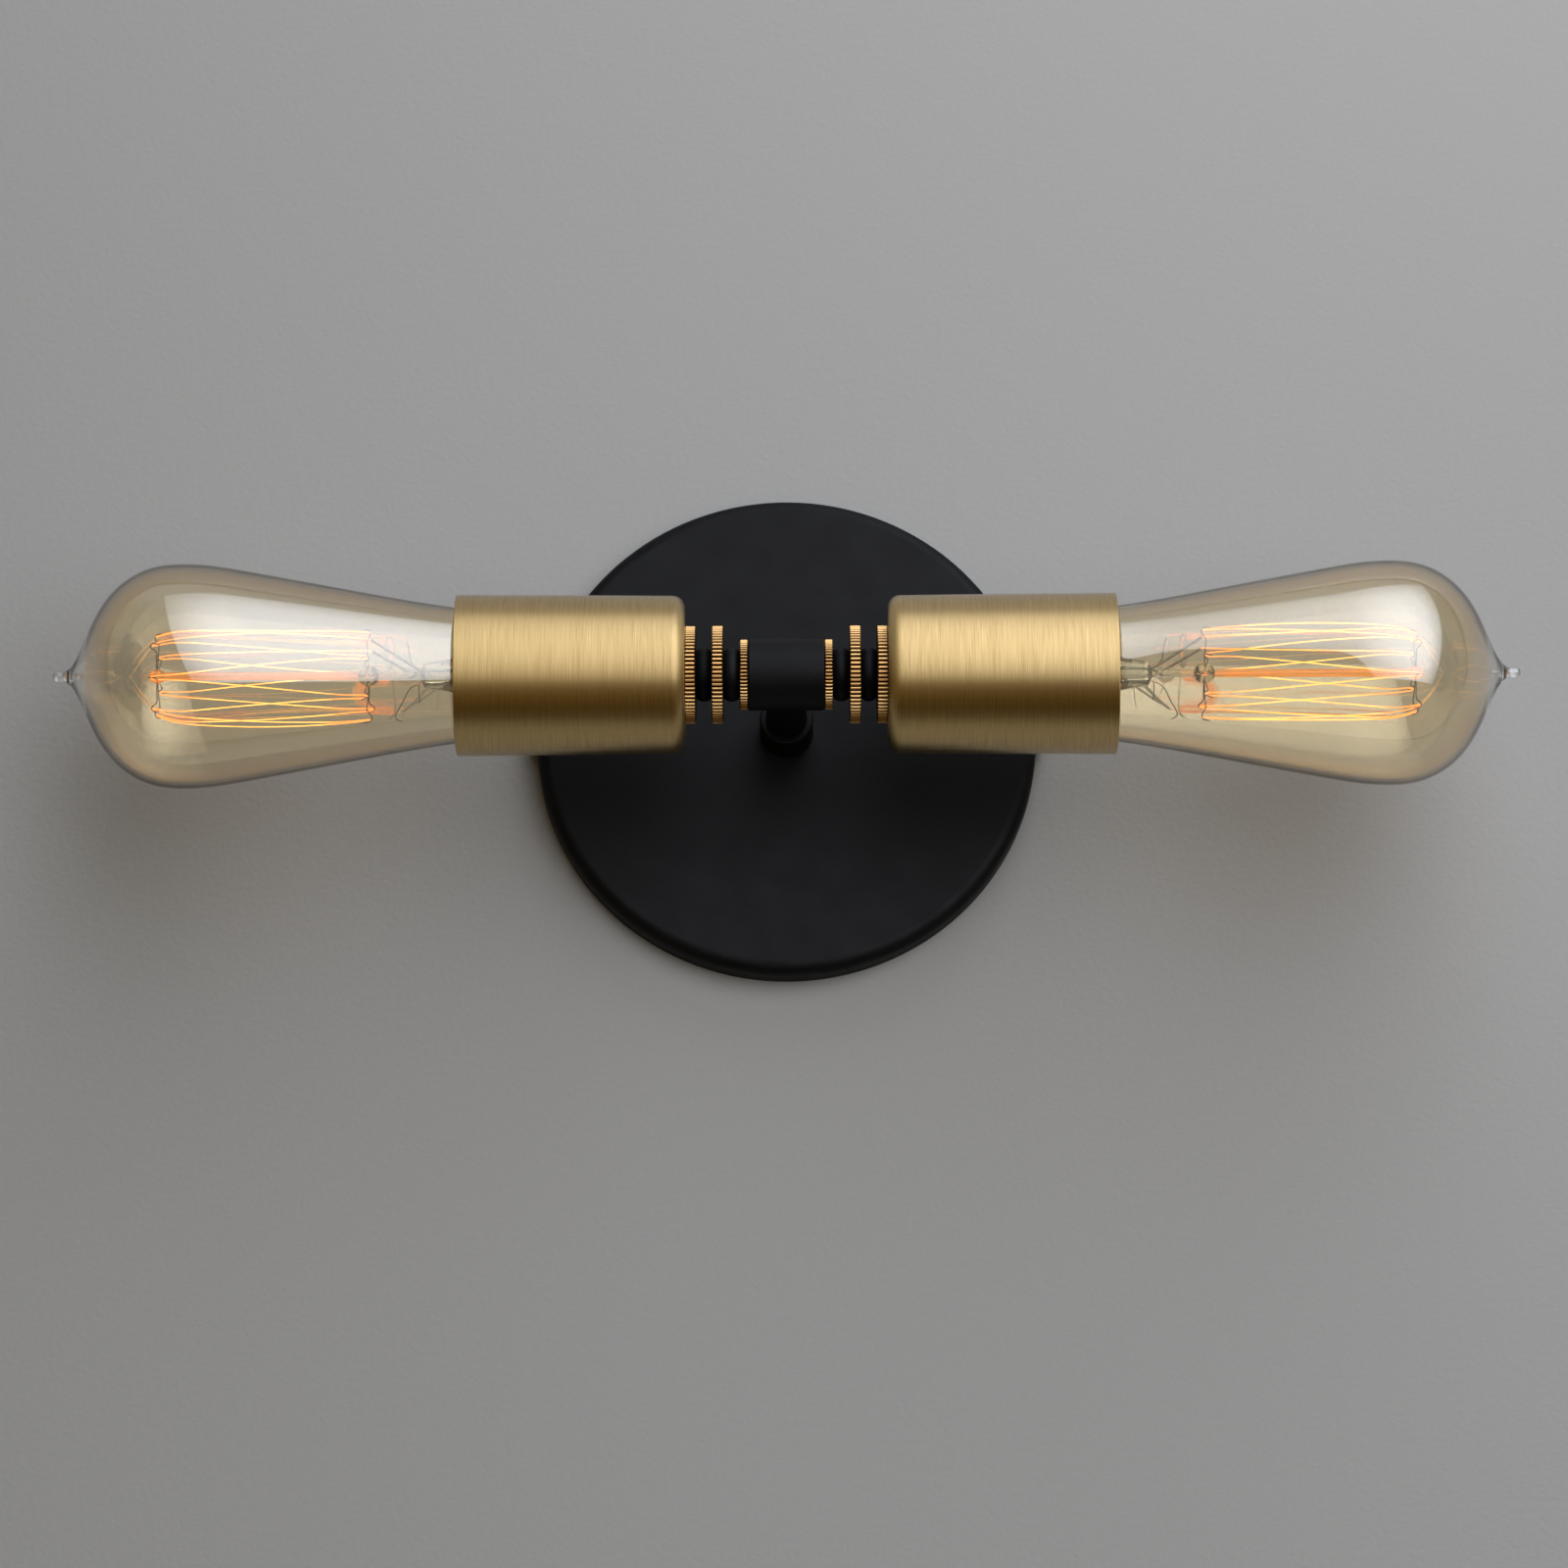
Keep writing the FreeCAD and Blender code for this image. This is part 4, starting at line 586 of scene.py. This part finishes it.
def filament_route(side, sizes, chance):
    """One wire strung between the near and the far hooks all the way round.

    Each strand runs level and bends in to its hooks at both ends.
    """
    gap = FIRST_HOOK_ANGLE - HOOK_STEP / 2
    near = (sizes.near_corner, NEAR_HOOK_SHARE)
    far = (sizes.far_corner, FAR_HOOK_SHARE)
    corners = [(LEAD_REACH, 1.0, gap + LEAD_HALF_ANGLE, NEAR_BEAD, 0.0)]
    for index in range(HOOKS):
        corners.append((*far, FAR_ANGLES[index], FAR_BEAD, HOOK_TURN))
        if index < HOOKS - 1:
            corners.append((*near, NEAR_ANGLES[index], NEAR_BEAD, -HOOK_TURN))
    corners.append((LEAD_REACH, 1.0, gap + 360 - LEAD_HALF_ANGLE, NEAR_BEAD, 0.0))

    route = [lamp_point(side, corners[0][0] * corners[0][1], corners[0][2], corners[0][3])]
    for start, stop in zip(corners, corners[1:]):
        bow = chance.uniform(*STRAND_BOW) * sizes.filament_sag
        sway = chance.uniform(*STRAND_SWAY) * sizes.filament_sag
        for share in STRAND_SHARES:
            reach = start[0] + (stop[0] - start[0]) * share
            angle = start[2] + (stop[2] - start[2]) * share
            along = start[3] + (stop[3] - start[3]) * share
            bulge = 4 * share * (1 - share)
            point = lamp_point(side, reach + bow * bulge, angle, along)
            point.z -= sway * bulge
            route.append(point)
        reach, hook_share, angle, along, past = stop
        if stop is corners[-1]:
            route.append(lamp_point(side, reach * hook_share, angle, along))
            continue
        spread = math.degrees(HOOK_TURN / reach)
        for offset in (-spread, spread):
            route.append(lamp_point(side, reach * hook_share, angle + offset, along + past))
    return route


def support_routes(side, sizes, chance):
    """Thin wires out of both beads, each kinked into a hook that holds a corner of the filament."""
    routes = []
    rows = (
        (FAR_ANGLES, sizes.far_corner * FAR_HOOK_SHARE, FAR_BEAD, 1),
        (NEAR_ANGLES, sizes.near_corner * NEAR_HOOK_SHARE, NEAR_BEAD, -1),
    )
    for angles, corner, along, out in rows:
        for angle in angles:
            kink = out * chance.uniform(*SUPPORT_KINK) * sizes.hook_tail
            lean = chance.uniform(*SUPPORT_LEAN)
            routes.append([
                lamp_point(side, 1.2 * MM, angle, along),
                lamp_point(side, corner * 0.5, angle + lean, along),
                lamp_point(side, corner * 0.8, angle + lean / 2, along - kink * 0.5),
                lamp_point(side, corner * 0.92, angle, along + kink),
                lamp_point(side, corner * 1.02, angle, along + kink * 0.8),
                lamp_point(side, corner * 1.08, angle, along - kink * 0.3),
                lamp_point(side, corner * 1.06, angle + 3, along - kink * 1.3),
            ])
    return routes


def press_routes(side):
    """Hair-thin ends of wire that stand loose out of the pinch."""
    loose = (
        (168, ((2.0, 90.6), (3.6, 92.8), (7.0, 92.9), (10.2, 93.8))),
        (22, ((2.2, 90.8), (2.8, 92.8), (6.6, 94.4), (9.6, 96.4), (10.9, 96.0), (11.2, 94.7))),
        (-14, ((2.0, 90.2), (4.4, 90.5), (7.8, 89.9))),
    )
    return [
        [lamp_point(side, reach * MM, angle, along * MM) for reach, along in points]
        for angle, points in loose
    ]


def place_piece(piece, side_name, node):
    """Lets a piece ride on its lamp in the place of one of its solids."""
    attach(piece, side_name + "_bulb")
    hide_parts(f"{side_name}_{node}")


# Stage

WALL_HOLE = 52 * MM
WALL_REACH = 4.0
WALL_GAP = 0.1 * MM
DAYLIGHT = (0.96, 1.0, 1.12)

# Name, azimuth, elevation, distance, width, height, power, and whether the light is mirrored: a tall soft
# screen in front and to the right, and light from overhead that only grades the wall
LIGHTS = (
    ("screen", 22, 26, 1.2, 1.5, 3.0, 18, True),
    ("overhead", 42, 60, 0.9, 0.6, 0.4, 2.2, False),
)
SCREEN_MIDDLE = (0.5, 0.43, 0.0)

CAMERA_PLACE = (-0.000675, -1.305, -0.43644)
CAMERA_TILT = 108.05
CAMERA_ROLL = -0.18
CAMERA_LENS = 123.75


def painted_wall():
    """Matt grey wall paint with a fine stipple, seen from the front only."""
    material, tree, shader = new_material("painted_wall")
    plaster = add_node(
        tree, "ShaderNodeTexNoise", links={"Vector": object_place(tree)},
        values={"Scale": 1 / (1.6 * MM), "Detail": 3.0, "Roughness": 0.55},
    )
    bump = add_node(
        tree, "ShaderNodeBump", links={"Height": plaster.outputs["Fac"]},
        values={"Strength": 0.6, "Distance": 0.22 * MM},
    )
    shader.inputs["Base Color"].default_value = srgb("9B9A95")
    shader.inputs["Roughness"].default_value = 0.9
    tree.links.new(bump.outputs["Normal"], shader.inputs["Normal"])
    back = add_node(tree, "ShaderNodeNewGeometry")
    clear = add_node(tree, "ShaderNodeBsdfTransparent")
    mix = add_node(tree, "ShaderNodeMixShader", links={0: back.outputs["Backfacing"]})
    tree.links.new(shader.outputs[0], mix.inputs[1])
    tree.links.new(clear.outputs[0], mix.inputs[2])
    tree.links.new(mix.outputs[0], tree.nodes["Material Output"].inputs["Surface"])
    return material


def stage_wall(scene):
    """A wall just behind the plate, with the hole of the wall box."""
    mesh = bpy.data.meshes.new("wall")
    shape = bmesh.new()
    for radius in (WALL_HOLE, WALL_REACH):
        bmesh.ops.create_circle(shape, segments=64, radius=radius)
    bmesh.ops.bridge_loops(shape, edges=shape.edges)
    shape.normal_update()
    if next(iter(shape.faces)).normal.z < 0:
        bmesh.ops.reverse_faces(shape, faces=shape.faces)
    bmesh.ops.rotate(shape, verts=shape.verts, matrix=Matrix.Rotation(math.radians(90), 3, "X"))
    bmesh.ops.translate(shape, verts=shape.verts, vec=(0, WALL_GAP, 0))
    shape.to_mesh(mesh)
    shape.free()
    wall = bpy.data.objects.new("wall", mesh)
    scene.collection.objects.link(wall)
    mesh.materials.append(painted_wall())


def stage_light(scene, name, azimuth, elevation, distance, width, height, power, mirrored):
    """A soft light that faces the plate. One that is mirrored is brightest near its middle."""
    light = bpy.data.lights.new(name, "AREA")
    light.shape = "RECTANGLE"
    light.size = width
    light.size_y = height
    light.energy = power
    light.color = DAYLIGHT
    lamp = bpy.data.objects.new(name, light)
    turn = math.radians(azimuth)
    rise = math.radians(elevation)
    level = math.cos(rise)
    away = Vector((math.sin(turn) * level, -math.cos(turn) * level, math.sin(rise)))
    lamp.location = away * distance
    lamp.rotation_mode = "QUATERNION"
    lamp.rotation_quaternion = away.to_track_quat("Z", "Y")
    lamp.visible_camera = False
    lamp.visible_glossy = mirrored
    lamp.visible_transmission = mirrored
    scene.collection.objects.link(lamp)
    if not mirrored:
        return
    light.use_nodes = True
    tree = light.node_tree
    spot = add_node(tree, "ShaderNodeNewGeometry")
    off = add_node(
        tree, "ShaderNodeVectorMath", links={0: spot.outputs["Parametric"]},
        values={1: SCREEN_MIDDLE}, operation="SUBTRACT",
    )
    off_middle = add_node(tree, "ShaderNodeVectorMath", links={0: off.outputs[0]}, operation="LENGTH")
    strength = add_node(
        tree, "ShaderNodeMapRange", links={"Value": off_middle.outputs["Value"]},
        values={"From Min": 0.12, "From Max": 0.68, "To Min": 2.2, "To Max": 0.35},
        interpolation_type="SMOOTHSTEP",
    )
    tree.links.new(strength.outputs["Result"], tree.nodes["Emission"].inputs["Strength"])


def stage_room(scene):
    """Light of the room: a warm floor, grey walls and a paler ceiling.

    It is plain pale where it is looked at, straight or through glass, and on the side of the wall.
    """
    world = bpy.data.worlds.new("room")
    world.use_nodes = True
    tree = world.node_tree
    place = add_node(tree, "ShaderNodeTexCoord")
    parts = add_node(tree, "ShaderNodeSeparateXYZ", links={0: place.outputs["Generated"]})
    upward = add_node(
        tree, "ShaderNodeMapRange", links={"Value": parts.outputs["Z"]},
        values={"From Min": -1.0, "From Max": 1.0},
    )
    room = add_node(
        tree, "ShaderNodeValToRGB", links={"Fac": upward.outputs["Result"]},
        ramp=[
            (0.06, srgb("3C2E04")), (0.2, srgb("6E5A1E")), (0.36, srgb("5E4E24")),
            (0.5, srgb("50442F")), (0.88, srgb("4A4A4A")), (0.97, srgb("A4A4A4")),
        ],
    )
    soft = add_node(tree, "ShaderNodeBackground", links={"Color": room.outputs["Color"]})
    white = add_node(tree, "ShaderNodeBackground", values={"Color": srgb("DADADA")})
    path = add_node(tree, "ShaderNodeLightPath")
    seen = add_node(
        tree, "ShaderNodeMath", operation="MAXIMUM",
        links={0: path.outputs["Is Camera Ray"], 1: path.outputs["Is Transmission Ray"]},
    )
    behind = add_node(
        tree, "ShaderNodeMath", links={0: parts.outputs["Y"]}, values={1: 0.0}, operation="GREATER_THAN"
    )
    pale = add_node(
        tree, "ShaderNodeMath", links={0: seen.outputs[0], 1: behind.outputs[0]}, operation="MAXIMUM"
    )
    mix = add_node(tree, "ShaderNodeMixShader", links={0: pale.outputs[0]})
    tree.links.new(soft.outputs[0], mix.inputs[1])
    tree.links.new(white.outputs[0], mix.inputs[2])
    tree.links.new(mix.outputs[0], tree.nodes["World Output"].inputs["Surface"])
    scene.world = world


def stage_camera(scene):
    """A camera that stands below the light and looks up at it."""
    camera_data = bpy.data.cameras.new("camera")
    camera_data.sensor_width = 36.0
    camera_data.lens = CAMERA_LENS
    camera_data.clip_start = 0.05
    camera_data.clip_end = 20.0
    camera = bpy.data.objects.new("camera", camera_data)
    tilt = Matrix.Rotation(math.radians(CAMERA_TILT), 4, "X")
    roll = Matrix.Rotation(math.radians(CAMERA_ROLL), 4, "Z")
    camera.matrix_world = Matrix.Translation(CAMERA_PLACE) @ tilt @ roll
    scene.collection.objects.link(camera)
    scene.camera = camera


# Operators

class VANITY_OT_black_parts(bpy.types.Operator):
    """Powder coat on the plate, stem, tee and spacers"""

    bl_idname = "vanity.black_parts"
    bl_label = "Black Parts"

    def execute(self, context):
        coat = powder_coat(context.scene.vanity_finishes)
        for node in ["canopy", "stem", "stem_collar", "tee", "canopy_side_screws"]:
            dress(node, coat)
        for node in both_sides("inner_spacer", "outer_spacer"):
            dress(node, coat)
        return {"FINISHED"}


KNURL_DEPTH = 0.4 * MM


class VANITY_OT_rings(bpy.types.Operator):
    """Turned brass on the knurled rings"""

    bl_idname = "vanity.rings"
    bl_label = "Knurled Rings"

    def execute(self, context):
        finishes = context.scene.vanity_finishes
        for name in ("tee_ring", "middle_ring", "cup_ring"):
            low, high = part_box("right_" + name)
            brass = ring_brass(finishes, name + "_brass", (high.z - low.z) / 2, KNURL_DEPTH)
            for node in both_sides(name):
                dress(node, brass)
        return {"FINISHED"}


class VANITY_OT_cups(bpy.types.Operator):
    """Brushed brass on the cups"""

    bl_idname = "vanity.cups"
    bl_label = "Cups"

    def execute(self, context):
        brass = brushed_brass(context.scene.vanity_finishes, context.scene.vanity_sizes)
        for node in both_sides("cup"):
            dress(node, brass)
        return {"FINISHED"}


class VANITY_OT_holders(bpy.types.Operator):
    """Ceramic lamp holders with their shells, straps and screws"""

    bl_idname = "vanity.holders"
    bl_label = "Lamp Holders"

    def execute(self, context):
        ceramic = grained("white_ceramic", "DAD7CC", "E6E3DA", 2 * MM, rough=(0.16, 0.26))
        sheet = grained("plain_brass", "B08F4C", "C8A662", 1.5 * MM, 1.0, (0.28, 0.4))
        for node in both_sides("socket_body"):
            dress(node, ceramic)
        for node in both_sides("socket_shell", "socket_contact"):
            dress(node, sheet)
        for node in ("socket_terminal_plates", "socket_terminal_screws"):
            dress(node, sheet)
        return {"FINISHED"}


class VANITY_OT_steel_parts(bpy.types.Operator):
    """Zinc plated steel of crossbar, pipes, nuts and straps"""

    bl_idname = "vanity.steel_parts"
    bl_label = "Steel Parts"

    def execute(self, context):
        zinc = grained("zinc_plated_steel", "9A9C9E", "B4B6B8", 3 * MM, 1.0, (0.3, 0.48))
        for node in ["crossbar", "stem_lock_washer", "pipe_lock_nuts", "socket_bracket_screws"]:
            dress(node, zinc)
        for node in both_sides("arm_pipe", "socket_bracket"):
            dress(node, zinc)
        dress("ground_screw", grained("green_screw", "1E6B3A", "2C8049", 1 * MM, 0.6, (0.35, 0.5)))
        return {"FINISHED"}


class VANITY_OT_wires(bpy.types.Operator):
    """Insulation and copper of the wires"""

    bl_idname = "vanity.wires"
    bl_label = "Wires"

    def execute(self, context):
        copper = grained("bare_copper", "A86038", "C47A4C", 1 * MM, 1.0, (0.3, 0.45))
        black = grained("black_wire", "1A1A1B", "242425", 1 * MM, rough=(0.4, 0.5))
        white = grained("white_wire", "D8D6CE", "E4E2DA", 1 * MM, rough=(0.4, 0.5))
        for node in ("ground_wire", "bare_wire_ends"):
            dress(node, copper)
        for node in both_sides("line_wire"):
            dress(node, black)
        for node in both_sides("neutral_wire"):
            dress(node, white)
        return {"FINISHED"}


class VANITY_OT_bulbs(bpy.types.Operator):
    """Amber bulbs with their inner glass, leads and cap"""

    bl_idname = "vanity.bulbs"
    bl_label = "Bulbs"

    def execute(self, context):
        finishes = context.scene.vanity_finishes
        amber = amber_glass(finishes)
        for side, side_name in SIDES:
            bulb = blown_bulb(side, side_name, context.scene.vanity_sizes, amber)
            place_piece(bulb, side_name, "bulb_glass")
        for part, material in (
            ("bulb_glass", amber),
            ("bulb_mount", inner_glass(NEAR_BEAD)),
            ("bulb_lead_wires", grained("nickel_wire", "5E5A54", "7A766E", 1 * MM, 1.0, (0.25, 0.4))),
            ("bulb_cap", grained("nickel_cap", "A8A296", "BEB8AC", 2 * MM, 1.0, (0.2, 0.34))),
            ("bulb_insulator", grained("black_glass", "0C0C0E", "141416", 2 * MM, rough=(0.08, 0.16))),
            ("bulb_contact", grained("solder", "8E8E90", "A8A8AA", 0.8 * MM, 1.0, (0.35, 0.5))),
        ):
            for node in both_sides(part):
                dress(node, material)
        return {"FINISHED"}


class VANITY_OT_filaments(bpy.types.Operator):
    """Glowing filaments, strung as a cage on kinked support wires"""

    bl_idname = "vanity.filaments"
    bl_label = "Filaments"

    def execute(self, context):
        finishes = context.scene.vanity_finishes
        sizes = context.scene.vanity_sizes
        tungsten = lit_tungsten(finishes, (NEAR_BEAD + FAR_BEAD) / 2, (FAR_BEAD - NEAR_BEAD) / 2)
        wire = grained("support_wire", "3A3632", "54504A", 1 * MM, 1.0, (0.3, 0.45))
        for side, side_name in SIDES:
            chance = random.Random(side_name)
            route = filament_route(side, sizes, chance)
            strands = bent_wires(side_name + "_filament_strands", [route], sizes.filament_wire, tungsten)
            place_piece(strands, side_name, "bulb_filament")
            routes = support_routes(side, sizes, chance)
            routes += press_routes(side)
            hooks = bent_wires(side_name + "_support_hooks", routes, sizes.support_wire, wire)
            place_piece(hooks, side_name, "bulb_supports")
        return {"FINISHED"}


class VANITY_OT_stage(bpy.types.Operator):
    """Grey wall, soft window light, the light of the room and the camera"""

    bl_idname = "vanity.stage"
    bl_label = "Stage"

    def execute(self, context):
        scene = context.scene
        scene.view_settings.view_transform = "Standard"
        stage_wall(scene)
        for light in LIGHTS:
            stage_light(scene, *light)
        stage_room(scene)
        stage_camera(scene)
        return {"FINISHED"}


class VANITY_PT_panel(bpy.types.Panel):
    bl_label = "Vanity Light"
    bl_idname = "VANITY_PT_panel"
    bl_space_type = "VIEW_3D"
    bl_region_type = "UI"
    bl_category = "Vanity Light"

    def draw(self, context):
        layout = self.layout
        for group in (context.scene.vanity_sizes, context.scene.vanity_finishes):
            for name in group.__annotations__:
                layout.prop(group, name)
        for step in STEPS:
            layout.operator(step.bl_idname)


STEPS = (
    VANITY_OT_black_parts,
    VANITY_OT_rings,
    VANITY_OT_cups,
    VANITY_OT_holders,
    VANITY_OT_steel_parts,
    VANITY_OT_wires,
    VANITY_OT_bulbs,
    VANITY_OT_filaments,
    VANITY_OT_stage,
)
CLASSES = (VanityFinishes, VanitySizes, *STEPS, VANITY_PT_panel)


def register():
    for thing in CLASSES:
        bpy.utils.register_class(thing)
    bpy.types.Scene.vanity_finishes = PointerProperty(type=VanityFinishes)
    bpy.types.Scene.vanity_sizes = PointerProperty(type=VanitySizes)


def unregister():
    del bpy.types.Scene.vanity_sizes
    del bpy.types.Scene.vanity_finishes
    for thing in reversed(CLASSES):
        bpy.utils.unregister_class(thing)


def main():
    register()
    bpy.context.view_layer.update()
    bpy.ops.vanity.black_parts()
    bpy.ops.vanity.rings()
    bpy.ops.vanity.cups()
    bpy.ops.vanity.holders()
    bpy.ops.vanity.steel_parts()
    bpy.ops.vanity.wires()
    bpy.ops.vanity.bulbs()
    bpy.ops.vanity.filaments()
    bpy.ops.vanity.stage()


if __name__ == "__main__":
    main()
